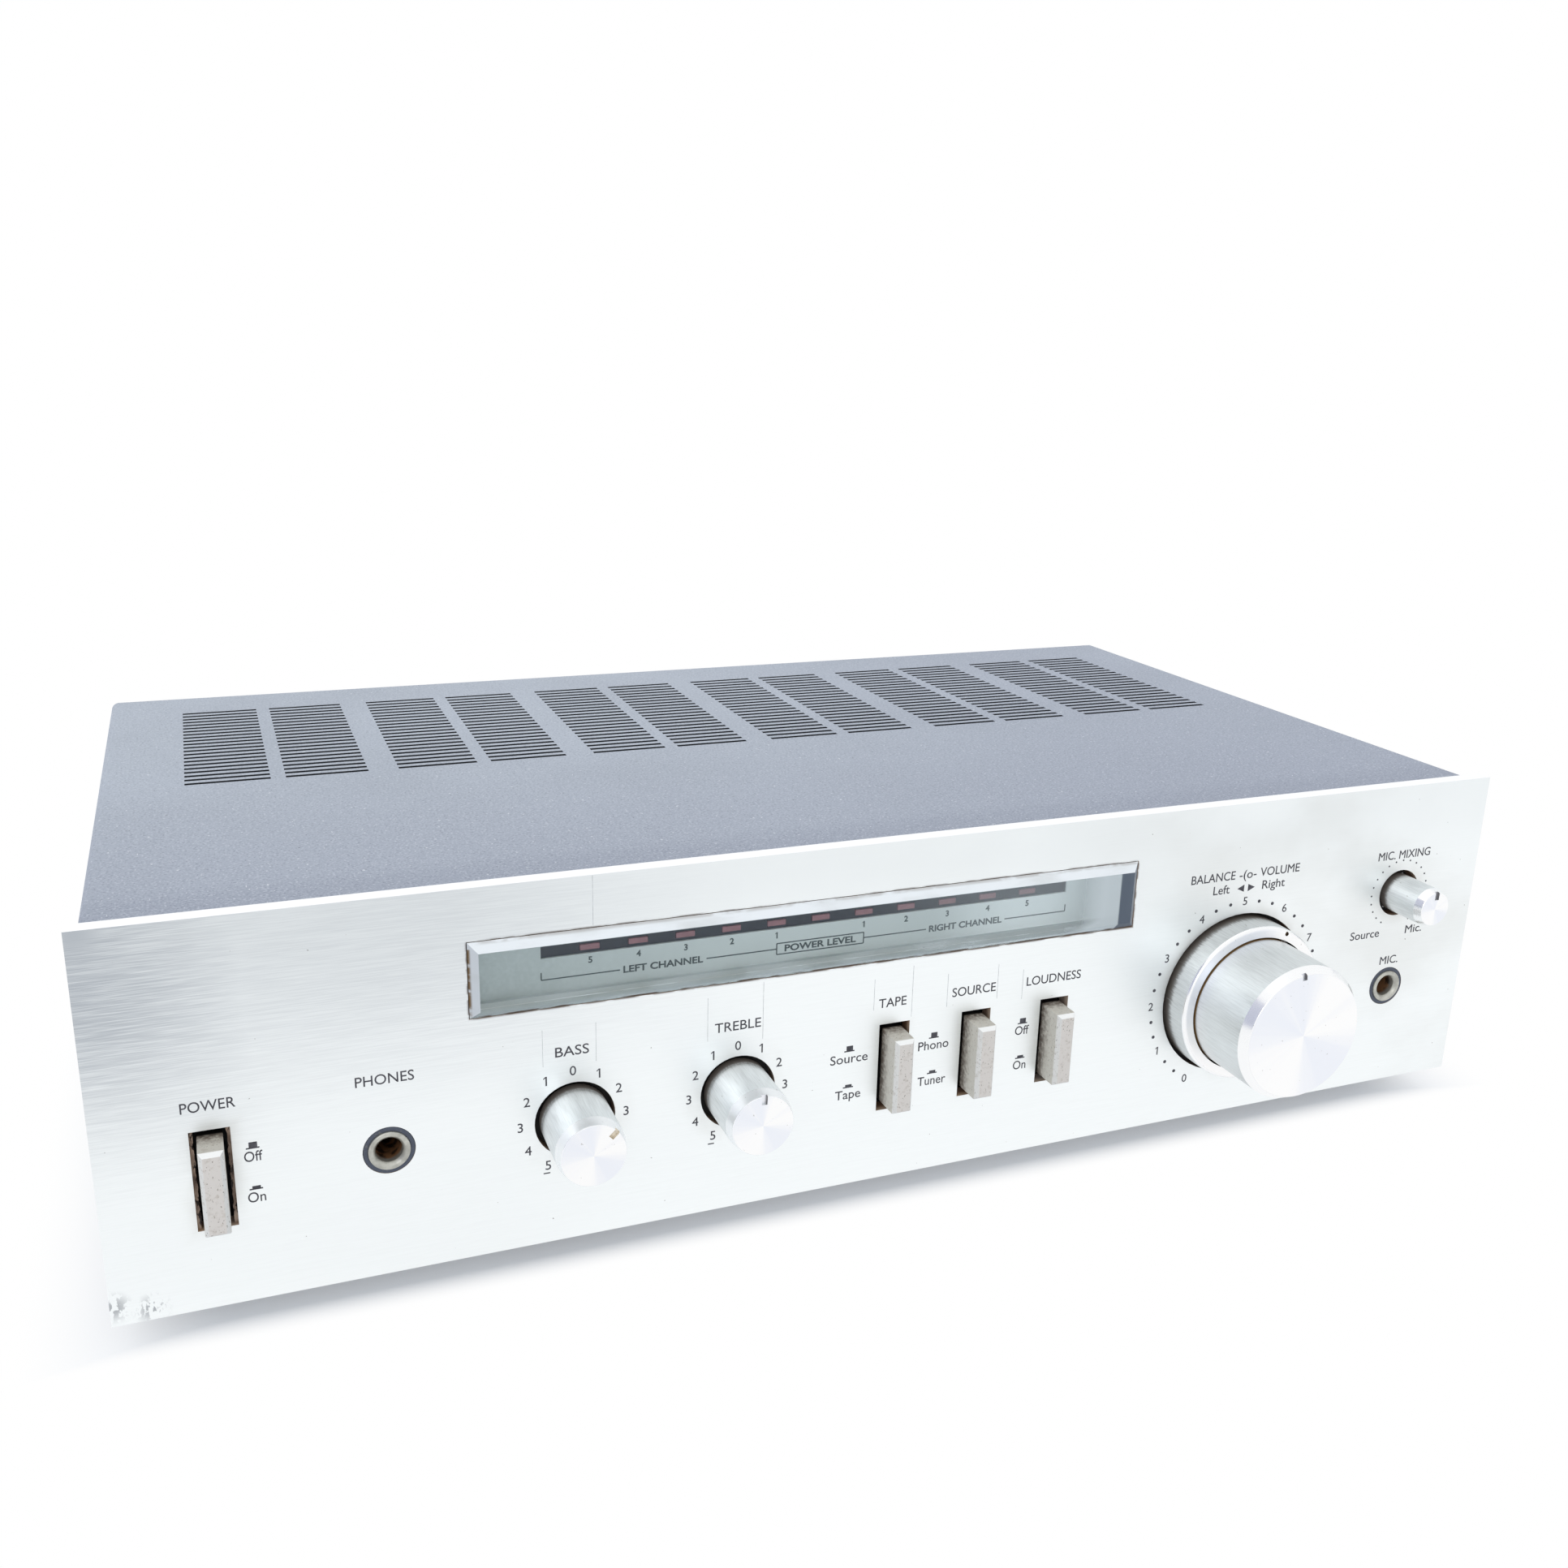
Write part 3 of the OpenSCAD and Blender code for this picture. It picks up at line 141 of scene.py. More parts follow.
class AmplifierPrinting(bpy.types.PropertyGroup):
    """Sizes of the printing on the faceplate and the scale."""

    capitals: length_setting("Capitals", "Height of capital letters", 2.6 * MM)
    digits: length_setting("Digits", "Height of the dial numbers", 2.5 * MM)
    scale_capitals: length_setting("Scale capitals", "Height of the letters on the scale", 1.75 * MM)
    ink: length_setting("Ink", "Thickness of the printed ink", 0.03 * MM)
    dot: length_setting("Dots", "Diameter of the dial dots", 1.05 * MM)
    line: length_setting("Lines", "Width of the printed lines", 0.32 * MM)
    weight: number_setting("Weight", "Thickening of the letters, in letter heights", 0.004)
    scale_weight: number_setting("Scale weight", "Thickening on the scale, in letter heights", 0.03)


class AmplifierStage(bpy.types.PropertyGroup):
    """Camera and floor."""

    eye: bpy.props.FloatVectorProperty(
        name="Eye", description="Camera place from the middle of the faceplate's lower front edge",
        subtype="TRANSLATION", unit="LENGTH", default=(-0.1667, -0.3278, 0.2237))
    heading: angle_setting("Heading", "Turn of the camera to the right of +Y", 21.777)
    tilt: angle_setting("Tilt", "Angle of the camera below the horizon", 16.908)
    roll: angle_setting("Roll", "Turn of the camera about its own axis", 1.388)
    lens: number_setting("Lens", "Focal length on a 36 mm sensor, in millimetres", 34.025)
    shift: bpy.props.FloatVectorProperty(name="Shift", description="Camera shift in image widths",
                                         size=2, default=(0.0019, 0.0028))
    floor: colour_setting("Floor", "Pale floor", (0.88, 0.93, 1.0))
    ambient: number_setting("Ambient", "Strength of the light from all round", 0.9)
    overhead: number_setting("Overhead lamp", "Power of the overhead lamp in watts", 5.0)
    front: number_setting("Front lamp", "Power of the front lamp in watts", 6.0)


class Wire:
    """Value inside a finish; Python arithmetic on it adds Math nodes."""

    def __init__(self, finish, socket):
        self.finish = finish
        self.socket = socket

    def maths(self, operation, *values):
        return self.finish.node("Math", {"operation": operation}, dict(enumerate(values)))

    def __add__(self, other):
        return self.maths("ADD", self, other)

    def __sub__(self, other):
        return self.maths("SUBTRACT", self, other)

    def __rsub__(self, other):
        return self.maths("SUBTRACT", other, self)

    def __mul__(self, other):
        return self.maths("MULTIPLY", self, other)

    def __abs__(self):
        return self.maths("ABSOLUTE", self)

    def __pow__(self, other):
        return self.maths("POWER", self, other)

    def least(self, other):
        return self.maths("MINIMUM", self, other)

    def most(self, other):
        return self.maths("MAXIMUM", self, other)

    __radd__ = __add__
    __rmul__ = __mul__


class Finish:
    """Material that is built up node by node on Object coordinates."""

    def __init__(self, name, owner=None):
        self.material = owner or bpy.data.materials.new(name)
        self.material.use_nodes = True
        self.tree = self.material.node_tree
        self.tree.nodes.clear()
        if owner is None:
            self.place = self.node("TexCoord", output="Object")
            self.facing = self.node("TexCoord", output="Normal")

    def node(self, kind, settings=None, sockets=None, output=0):
        """Adds a node, sets its settings, then its sockets, and returns one output."""
        made = self.tree.nodes.new("ShaderNode" + kind)
        for key, value in (settings or {}).items():
            setattr(made, key, value)
        for key, value in (sockets or {}).items():
            if isinstance(value, Wire):
                self.tree.links.new(value.socket, made.inputs[key])
            else:
                made.inputs[key].default_value = value
        return Wire(self, made.outputs[output])

    def axis(self, number, vector=None):
        """One coordinate of a vector, by default of the place."""
        return self.node("SeparateXYZ", sockets={0: vector or self.place}, output=number)

    def moved(self, middle, stretch=(1, 1, 1)):
        """The place, counted from a middle and stretched."""
        shifted = tuple(-m * s for m, s in zip(middle, stretch))
        return self.node("Mapping", sockets={"Vector": self.place, "Location": shifted, "Scale": stretch})

    def reach(self, middle):
        """Distance from the line along the depth through a place."""
        flat = self.moved(middle, (1, 0, 1))
        return self.node("VectorMath", {"operation": "LENGTH"}, {0: flat}, output="Value")

    def noise(self, stretch, detail, seed=0.0):
        """Cloudy pattern from 0 to 1, with one scale for all axes or one for each."""
        scales = stretch if isinstance(stretch, tuple) else (stretch,) * 3
        where = self.moved((seed,) * 3, scales)
        return self.node("TexNoise", {}, {"Vector": where, "Scale": 1.0, "Detail": detail})

    def band(self, value, start, end, low=0.0, high=1.0):
        """Soft step of a value from low at start to high at end."""
        return self.node("MapRange", {"interpolation_type": "SMOOTHSTEP"},
                         {"Value": value, "From Min": start, "From Max": end, "To Min": low, "To Max": high})

    def blend(self, factor, first, second):
        """Colour between two colours."""
        ends = {6: first if isinstance(first, Wire) else (*first, 1),
                7: second if isinstance(second, Wire) else (*second, 1)}
        return self.node("Mix", {"data_type": "RGBA"}, {0: factor, **ends}, output=2)

    def coats(self, tone, *layers):
        """Colour under further coats, each a mask and a colour."""
        for mask, colour in layers:
            tone = self.blend(mask, tone, colour)
        return tone

    def bump(self, height, distance, strength):
        """Normal of a surface whose relief is a height."""
        return self.node("Bump", {}, {"Strength": strength, "Distance": distance, "Height": height})

    def shader(self, colour, **sockets):
        """Principled shader of a colour and further sockets."""
        named = {key.replace("_", " ").title().replace("Ior", "IOR"): value for key, value in sockets.items()}
        base = colour if isinstance(colour, Wire) else (*colour, 1)
        return self.node("BsdfPrincipled", {}, {"Base Color": base, **named})

    def gloss(self, colour, roughness):
        """Glossy shader of a colour."""
        return self.node("BsdfGlossy", {}, {"Color": (*colour, 1), "Roughness": roughness})

    def mixed(self, factor, first, second):
        """Shader between two shaders."""
        return self.node("MixShader", {}, {0: factor, 1: first, 2: second})

    def surface(self, colour, **sockets):
        """Ends the material with one shader."""
        return self.end(self.shader(colour, **sockets))

    def end(self, shader):
        """Joins a shader to the output."""
        world = isinstance(self.material, bpy.types.World)
        output = self.tree.nodes.new("ShaderNodeOutputWorld" if world else "ShaderNodeOutputMaterial")
        self.tree.links.new(shader.socket, output.inputs["Surface"])
        return self

    def seen(self):
        """1 for what the camera sees, straight, in metal or through glass."""
        rays = ("Camera", "Glossy", "Transmission")
        return reduce(Wire.most, [self.node("LightPath", output=f"Is {ray} Ray") for ray in rays])


def finishes():
    return bpy.context.scene.amplifier_finishes


def shade(colour, share):
    """Colour with each part times a share, at most white."""
    return tuple(min(part * share, 1) for part in colour)


def middle_of(node):
    """Middle of a CAD node's box."""
    low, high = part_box(node)
    return (low + high) / 2


def only(piece):
    """Makes one object the only selected one and the active one."""
    bpy.ops.object.select_all(action="DESELECT")
    piece.select_set(True)
    bpy.context.view_layer.objects.active = piece


def added(operator, **arguments):
    """New object from an add operator, with everything deselected first."""
    bpy.ops.object.select_all(action="DESELECT")
    operator(**arguments)
    return bpy.context.view_layer.objects.active


def applied(piece, kind, **settings):
    """Adds a modifier to an object and applies it."""
    only(piece)
    step = piece.modifiers.new("step", kind)
    for key, value in settings.items():
        setattr(step, key, value)
    bpy.ops.object.modifier_apply(modifier=step.name)


@contextmanager
def shaping(piece):
    """Edit mode on one object with all of its mesh selected."""
    only(piece)
    bpy.ops.object.mode_set(mode="EDIT")
    bpy.ops.mesh.select_mode(type="VERT")
    bpy.ops.mesh.select_all(action="SELECT")
    yield
    bpy.ops.object.mode_set(mode="OBJECT")


def drawn_out(*step):
    """Extrudes what is selected in edit mode by a step."""
    bpy.ops.mesh.extrude_region_move(TRANSFORM_OT_translate={"value": step})


def faced_out():
    """Turns all faces of the mesh in edit mode outwards."""
    bpy.ops.mesh.select_all(action="SELECT")
    bpy.ops.mesh.normals_make_consistent(inside=False)


def settled(piece, name):
    """Names an object and moves its place, turn and scale into its mesh."""
    only(piece)
    bpy.ops.object.transform_apply(location=True, rotation=True, scale=True)
    piece.name = name
    piece.data.name = name
    return piece


def joined(pieces, name):
    """One object from several, with its doubles merged."""
    bpy.ops.object.select_all(action="DESELECT")
    for piece in pieces:
        piece.select_set(True)
    bpy.context.view_layer.objects.active = pieces[0]
    bpy.ops.object.join()
    whole = settled(bpy.context.view_layer.objects.active, name)
    with shaping(whole):
        bpy.ops.mesh.remove_doubles(threshold=INK_MERGE)
    return whole


def smooth(piece, degrees=35):
    """Smooth shading up to an angle between faces."""
    only(piece)
    bpy.ops.object.shade_smooth_by_angle(angle=math.radians(degrees))


def rounded(piece, width, segments=2, smoothed=35):
    """Rounds a piece's sharp edges with an applied bevel; broad faces stay flat."""
    applied(piece, "BEVEL", width=width, segments=segments, limit_method="ANGLE", angle_limit=SHARP)
    smooth(piece, smoothed)
    applied(piece, "WEIGHTED_NORMAL", keep_sharp=True)
    return piece


def copy_of(piece, name, shift=(0, 0, 0)):
    """Copy of a piece with its own mesh, shifted."""
    twin = bpy.data.objects.new(name, piece.data.copy())
    bpy.context.scene.collection.objects.link(twin)
    twin.data.transform(Matrix.Translation(shift))
    return twin


def merged_copy(node, name):
    """Copy of a CAD node's mesh with its triangles joined up."""
    twin = copy_of(frame["nodes"][node], name)
    with shaping(twin):
        bpy.ops.mesh.remove_doubles(threshold=MERGE)
        bpy.ops.mesh.dissolve_limited(angle_limit=FLAT)
    return twin


def softened(node, name, width, segments=2, smoothed=35):
    """Copy of a CAD node with rounded edges."""
    return rounded(merged_copy(node, name), width, segments, smoothed)


def turned(name, middle, outline, steps):
    """Piece turned about the depth: rings pulled through (radius, y) points, ends closed."""
    radius, depth = outline[0]
    piece = settled(added(bpy.ops.mesh.primitive_circle_add, vertices=steps, radius=radius,
                          location=(middle.x, depth, middle.z), rotation=(math.pi / 2, 0, 0)), name)
    with shaping(piece):
        for next_radius, next_depth in outline[1:]:
            drawn_out(0, next_depth - depth, 0)
            growth = next_radius / radius
            bpy.ops.transform.resize(value=(growth, 1, growth),
                                     center_override=(middle.x, next_depth, middle.z))
            radius, depth = next_radius, next_depth
        bpy.ops.mesh.select_all(action="SELECT")
        bpy.ops.mesh.remove_doubles(threshold=MERGE)
        bpy.ops.mesh.fill_holes(sides=0)
        faced_out()
    smooth(piece)
    return piece


def corner(radius, depth, size, start, end, steps=4):
    """Points of a rounded corner of an outline, between two angles in degrees."""
    angles = [math.radians(start + (end - start) * i / steps) for i in range(steps + 1)]
    return [(radius + size * math.cos(a), depth + size * math.sin(a)) for a in angles]


def cut(piece, tool):
    """Takes one closed shape out of another and deletes the tool."""
    applied(piece, "BOOLEAN", object=tool, operation="DIFFERENCE", solver="EXACT")
    bpy.data.objects.remove(tool)


def dress(piece, body, slot, finish, *nodes):
    """Gives a piece its finish, its body and the CAD nodes that it stands for; the slot argument is not used.
    """
    if not piece.data.materials or piece.data.materials[0] is None:
        piece.data.materials.clear()
        piece.data.materials.append(finish.material)
    else:
        piece.data.materials[0] = finish.material
    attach(piece, body)
    if nodes:
        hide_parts(*nodes)
    return piece


def paint(finish, *nodes):
    """Gives CAD nodes a finish."""
    for node in nodes:
        materials = frame["nodes"][node].data.materials
        materials.clear()
        materials.append(finish.material)


def grime_round(finish, node, spread, square):
    """Mask that fades away from the outline of a control in the faceplate."""
    low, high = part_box(node)
    middle, half = (low + high) / 2, (high - low) / 2
    if square:
        from_middle = finish.moved(middle)
        beside = abs(finish.axis(0, from_middle)) - half.x
        out = beside.most(abs(finish.axis(2, from_middle)) - half.z)
    else:
        out = finish.reach(middle) - half.x
    return finish.band(out, spread, 0.0)


def on_plate(x, z):
    """Place on the faceplate, from millimetres right of its middle and above its lower edge."""
    return Vector((x * MM, 0, PLATE_LOW.z + z * MM))


def spot(finish, middle, reach, solid=0.0):
    """Mask that fades away from a place on the front, from a solid radius to its reach."""
    return finish.band(finish.reach(middle), reach, solid)


def faceplate_finish():
    """Brushed silver with a painted reflection greying the left end, painted shade towards the top, grime
    partly painted as shade round the openings, scuffs, dirty cut walls with a painted lit rim, and a painted
    highlight on the top face.
    """
    colours = finishes()
    f = Finish("brushed_faceplate")
    x, z = f.axis(0), f.axis(2)
    forward, upward = abs(f.axis(1, f.facing)), f.axis(2, f.facing)
    fine = f.noise((120, 400, 6000), 2)
    wide = f.noise((90, 60, 2400), 3, seed=0.3)
    grain = fine * 0.6 + wide * 0.4
    cloud = f.noise((16, 16, 22), 4, seed=0.7)
    smear = f.noise((90, 90, 60), 3, seed=0.2)

    def above(start, end):
        return f.band(z, PLATE_LOW.z + start * MM, PLATE_LOW.z + end * MM)

    def below(start, end):
        return f.band(z, PLATE_HIGH.z - start * MM, PLATE_HIGH.z - end * MM)

    # Painted shade: the front is darkened towards its top edge
    upper = below(34, 4) * f.band(cloud + grain * 0.4, 0.45, 0.8, 0.5, 1.0)
    # Painted reflection: the left end and a wide band along the top left are greyed as if mirroring a shaded
    # floor; the spot at the top left corner is a ding
    left = f.band(x, -0.135, -0.2) * above(26, 85)
    along = f.band(x, -0.03, -0.13) * above(35, 82)
    painted_reflection_and_ding_grey = left * f.band(grain + cloud * 0.3, 0.85, 0.45, 0.45, 1.0)
    painted_reflection_and_ding_grey = painted_reflection_and_ding_grey.most(spot(f, on_plate(-198, 98), 16 * MM) * 0.9)
    painted_reflection_and_ding_grey = painted_reflection_and_ding_grey.most(along * f.band(grain, 0.7, 0.3, 0.25, 0.45))
    right = f.band(x, 0.03, 0.12) * f.band(cloud, 0.4, 0.7)
    # Grime round the openings, partly painted shade: the plate is greyed round each button and knob
    grime_and_shade_halos = [grime_round(f, node, spread * MM, square) for node, spread, square in (
        ("power_button", 6, True), ("tape_button", 4, True), ("source_button", 4, True),
        ("loudness_button", 4, True), ("bass_knob", 8, False), ("treble_knob", 8, False),
        ("balance_ring", 6, False), ("mix_knob", 6, False))]
    dirt = reduce(Wire.most, grime_and_shade_halos) * f.band(smear, 0.35, 0.75)
    specks = f.band(f.noise(800, 1, seed=0.9), 0.79, 0.82)
    scuffs = spot(f, on_plate(-199, 5), 5 * MM) + spot(f, on_plate(-191, 3), 5 * MM)
    scuffs = scuffs * f.band(f.noise((900, 900, 500), 3, seed=0.4), 0.5, 0.56) * f.band(forward, 0.5, 0.8)
    rust = grime_round(f, "window_lens", 0.7 * MM, True)
    rust = rust * f.band(f.noise((140, 140, 420), 3, seed=0.6), 0.38, 0.55)
    inner = f.band(abs(x), PLATE_HIGH.x - 2 * MM, PLATE_HIGH.x - 4 * MM) * above(2, 4) * below(2, 4)
    crust = f.band(forward, 0.75, 0.4) * inner
    # Painted light: the dirt on the cut walls is paler near the front edge, where the walls would catch light
    rim = f.band(f.axis(1), FRONT + 2.5 * MM, FRONT + 0.3 * MM)
    dirt_with_painted_lit_rim = f.blend(rim, colours.grime, srgb(200, 172, 146))
    # Painted highlight: the top face is painted white and made less metallic, as if brightly lit
    top = f.band(upward, 0.4, 0.7) * below(2, 1)
    tone = f.coats(
        f.blend(f.band(grain, 0.25, 0.65), shade(colours.plate, 0.972), colours.plate),
        (upper * 0.28, srgb(206, 212, 214)),
        (painted_reflection_and_ding_grey, colours.plate_shade),
        (right * 0.3, srgb(206, 206, 202)),
        (dirt * 0.28, srgb(190, 184, 172)),
        (specks * 0.6, srgb(112, 104, 94)),
        (scuffs * 0.8, srgb(150, 154, 160)),
        (rust * 0.9, srgb(84, 58, 38)),
        (crust * f.band(smear, 0.2, 0.6, 0.6, 1.0), dirt_with_painted_lit_rim),
        (top, WHITE))
    return f.surface(tone, metallic=0.92 - (crust + rust + top).least(1.0) * 0.8,
                     roughness=0.32 + grain * 0.12 + dirt * 0.2,
                     normal=f.bump(fine * 0.7 + wide * 0.3, 0.02 * MM, 0.14))


def cover_finish():
    """Fine-grained blue-grey paint with pale dust and dark flecks; painted shade towards the front and right,
    a painted shadow behind the faceplate, and painted shade on slot walls and underside.
    """
    colours = finishes()
    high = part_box("top_cover")[1]
    f = Finish("speckled_cover_paint")
    x, y = f.axis(0), f.axis(1)
    upward = f.axis(2, f.facing)
    grain = f.noise(1700, 2)
    cloud = f.noise(14, 4, seed=0.4)
    dust = f.band(f.noise((900, 600, 900), 2, seed=0.6), 0.69, 0.73)
    lint = f.band(f.noise((2200, 320, 1500), 1, seed=0.1), 0.77, 0.8)
    flecks = f.band(f.noise(900, 1, seed=0.8), 0.76, 0.79)
    # Painted shade: slot walls and the underside are painted nearly black
    slots = f.band(abs(upward), 0.5, 0.2) * f.band(f.axis(2), high.z - 3 * MM, high.z - 2 * MM)
    slots = slots * f.band(y, high.y - 2 * MM, high.y - 4 * MM)
    slots = slots * f.band(abs(x), high.x - 3 * MM, high.x - 5 * MM)
    tone = f.coats(
        f.blend(f.band(cloud, 0.3, 0.7), shade(colours.paint, 0.95), shade(colours.paint, 1.05)),
        # Painted shade: darker towards the front and towards the right, and a painted shadow along the
        # faceplate's top edge
        (f.band(y, 0.06, -0.09) * 0.75, srgb(156, 163, 178)),
        (f.band(x, -0.05, 0.16) * 0.35, srgb(146, 153, 172)),
        (f.band(y, PLATE_HIGH.y + 14 * MM, PLATE_HIGH.y + 1 * MM) * 0.3, srgb(132, 139, 156)),
        (f.band(grain, 0.52, 0.75) * 0.45, srgb(212, 217, 226)),
        (f.band(grain, 0.46, 0.26) * 0.5, srgb(104, 109, 126)),
        (dust.most(lint) * 0.65, srgb(226, 229, 234)),
        (flecks * 0.6, srgb(78, 80, 92)),
        (slots.most(f.band(upward, -0.3, -0.7)), srgb(44, 46, 52)))
    return f.surface(tone, roughness=0.55 + dust * 0.25, normal=f.bump(grain, 0.05 * MM, 0.5),
                     specular_ior_level=0.35)


def turned_metal(name, node, colour, wear=1.0, soiled=2.4 * MM, polish=0.95, collar=None, dot=None):
    """Turned aluminium: spun face with a painted sheen in sectors, polished bevel, sides brushed lengthwise
    and dirty near the panel.

    A collar is the depth past which the sides are brown, and a dot is the place of a brown pointer dot."""
    middle = middle_of(node)
    f = Finish(name)
    from_axis = f.moved((middle.x, 0, middle.z), (1, 0, 1))
    way = f.node("VectorMath", {"operation": "NORMALIZE"}, {0: from_axis}, output="Vector")
    forward = abs(f.axis(1, f.facing))
    face = f.band(forward, 0.88, 0.97)
    bevel = f.band(forward, 0.14, 0.22) * (1 - face)
    streak = f.noise((3600, 150, 3600), 3)
    rings = f.node("TexNoise", {"noise_dimensions": "1D"},
                   {"W": f.reach(middle), "Scale": 6000.0, "Detail": 2.0})
    # Painted reflection: light and dark sectors round the face stand for the sheen of the spun grooves; the
    # rings are the grooves' own grain
    painted_fan_sheen = f.node("TexNoise", {}, {"Vector": way, "Scale": 1.5, "Detail": 3.0})
    painted_lobe_sheen = f.axis(0, way) * f.axis(2, way) * 0.4
    side_tone = f.blend(f.band(streak, 0.25, 0.65), shade(colour, 0.82), shade(colour, 0.97))
    spun_face_and_painted_sheen = f.blend(f.band(painted_fan_sheen + painted_lobe_sheen + rings * 0.1, 0.3, 0.75), srgb(241, 244, 251), WHITE)
    near = f.band(f.axis(1), FRONT - soiled, FRONT - 0.2 * MM)
    patchy = f.noise((2000, 260, 2000), 3, seed=0.5)
    inward = f.node("VectorMath", {"operation": "DOT_PRODUCT"}, {0: f.facing, 1: way}, output="Value")
    soil = near * f.band(patchy + near * 0.7, 0.6, 1.05) * wear
    soil = soil.most(f.band(inward, -0.3, -0.6))
    pits = f.band(f.noise((1100, 500, 1100), 1, seed=0.2), 0.76, 0.8)
    tone = f.coats(
        side_tone,
        (face, spun_face_and_painted_sheen),
        (bevel, srgb(250, 251, 252)),
        (soil * 0.9, srgb(70, 58, 46)),
        (pits * 0.45, srgb(150, 146, 138)))
    if collar is not None:
        brown = f.band(f.axis(1), collar - 0.5 * MM, collar - 0.3 * MM)
        tone = f.blend(brown, tone, srgb(132, 102, 62))
        soil = soil.most(brown)
    if dot is not None:
        tone = f.blend(spot(f, dot, 0.75 * MM, 0.55 * MM), tone, srgb(104, 84, 62))
    relief = f.bump((streak * (1 - face) + rings * face) * (1 - bevel), 0.012 * MM, 0.25)
    return f.surface(tone, metallic=0.95 - soil * 0.7 - bevel * (0.95 - polish), normal=relief,
                     roughness=(0.3 + streak * 0.14) * (1 - bevel) + bevel * 0.2 + soil * 0.3)


def plastic(name, colour, speckle, rough=0.5, grit=0.05, scale=700, strength=0.4):
    """Moulded plastic with a fine grain and speckles of another colour."""
    f = Finish(name)
    grain = f.noise(scale, 3)
    spots = f.band(f.noise(scale * 1.3, 1, seed=0.3), 0.66, 0.74)
    tone = f.coats(f.blend(f.band(grain, 0.35, 0.8), shade(colour, 0.9), shade(colour, 1.04)),
                   (spots * strength, speckle))
    return f.surface(tone, roughness=rough + grain * 0.15, normal=f.bump(grain, grit * MM, 0.4))


def button_finish():
    """Beige-grey caps, speckled with dirt, with painted shade making the sides khaki, painted light on the
    bevels and a painted highlight on the top one, and painted shade in the slot.
    """
    colours = finishes()
    f = Finish("worn_button_plastic_with_painted_light")
    grain = f.noise(900, 3)
    y, facing, upward = f.axis(1), abs(f.axis(1, f.facing)), f.axis(2, f.facing)
    bevel = f.band(facing, 0.3, 0.45) * f.band(facing, 0.95, 0.8)
    chips = f.band(f.noise((2300, 2300, 1700), 2, seed=0.6), 0.65, 0.71)
    near = f.band(y, FRONT - 4 * MM, FRONT + 1 * MM)
    tone = f.coats(
        # Painted shade and light: the sides are darker than the front and the bevels paler
        f.blend(f.band(facing, 0.5, 0.95), srgb(203, 199, 189), colours.button),
        (bevel, srgb(219, 217, 213)),
        (f.band(grain, 0.52, 0.75) * 0.4, srgb(168, 156, 142)),
        (chips * 0.75, srgb(108, 96, 80)),
        # Painted highlight on the top bevel
        (bevel * f.band(upward, 0.3, 0.6) * 0.9, srgb(255, 255, 253)),
        # Darker in patches towards the slot
        (near * 0.7 * f.band(grain, 0.3, 0.6), shade(colours.grime, 0.35)),
        # Painted shade: the part of the cap inside the slot is nearly black
        (f.band(y, FRONT + 1.2 * MM, FRONT + 2.0 * MM), srgb(14, 12, 12)))
    return f.surface(tone, roughness=0.42 + grain * 0.2, normal=f.bump(grain, 0.04 * MM, 0.4))


def plated(name, colour, rough, soil, scale=160):
    """Plated metal with faint stains."""
    f = Finish(name)
    stain = f.noise(scale, 4)
    grain = f.noise((1200, 1200, 200), 2, seed=0.4)
    spots = f.band(stain, 0.56, 0.74)
    tone = f.coats(f.blend(grain, shade(colour, 0.82), shade(colour, 1.03)),
                   (spots * soil, srgb(112, 96, 76)))
    return f.surface(tone, metallic=1 - spots * soil * 0.6, roughness=rough + stain * 0.15,
                     normal=f.bump(grain, 0.01 * MM, 0.3))


def ink_finish(name, colour):
    """Screen-printed ink, a little worn."""
    f = Finish(name)
    wear = f.noise(900, 3)
    tone = f.blend(f.band(wear, 0.35, 0.75), colour, tuple(c * 1.5 + 0.03 for c in colour))
    return f.surface(tone, roughness=0.5 + wear * 0.2)


def as_mesh(label):
    """Text object made a mesh."""
    only(label)
    bpy.ops.object.convert(target="MESH")
    return bpy.context.view_layer.objects.active


def letter_capital():
    """Height of a capital in the built-in letters at size 1."""
    sample = added(bpy.ops.object.text_add)
    sample.data.body = "H"
    sample = as_mesh(sample)
    height = max(v.co.y for v in sample.data.vertices)
    bpy.data.objects.remove(sample)
    return height


def word(text, x, z, height, width=None, front=None, weight=None):
    """Printed word round a place, as a thin mesh on the faceplate or the scale."""
    sizes = bpy.context.scene.amplifier_printing
    label = added(bpy.ops.object.text_add)
    label.data.body = text
    label.data.extrude = 0.5
    label.data.resolution_u = 4
    label.data.bevel_depth = sizes.weight if weight is None else weight
    label.data.bevel_resolution = 0
    label = as_mesh(label)
    xs = [v.co.x for v in label.data.vertices]
    scale = height / word.capital
    squeeze = scale if width is None else width / (max(xs) - min(xs))
    label.data.transform(Matrix.Translation((-(max(xs) + min(xs)) / 2, -word.capital / 2, 0)))
    label.scale = (squeeze, scale, sizes.ink)
    label.rotation_euler = (math.pi / 2, 0, 0)
    label.location = (x, (FRONT if front is None else front) - sizes.ink / 2, z)
    return settled(label, "word")


def number(text, x, z, height, front=None, weight=None):
    """Printed number, whose one has a flag."""
    figure = word(text, x, z, height, None, front, weight)
    if not text.startswith("1"):
        return [figure]
    stem = min(v.co.x for v in figure.data.vertices)
    left, up, long, thick = (share * height for share in FLAG)
    return [figure, mark(stem - left, z + up, long, thick, front=front, turn=FLAG_TURN)]


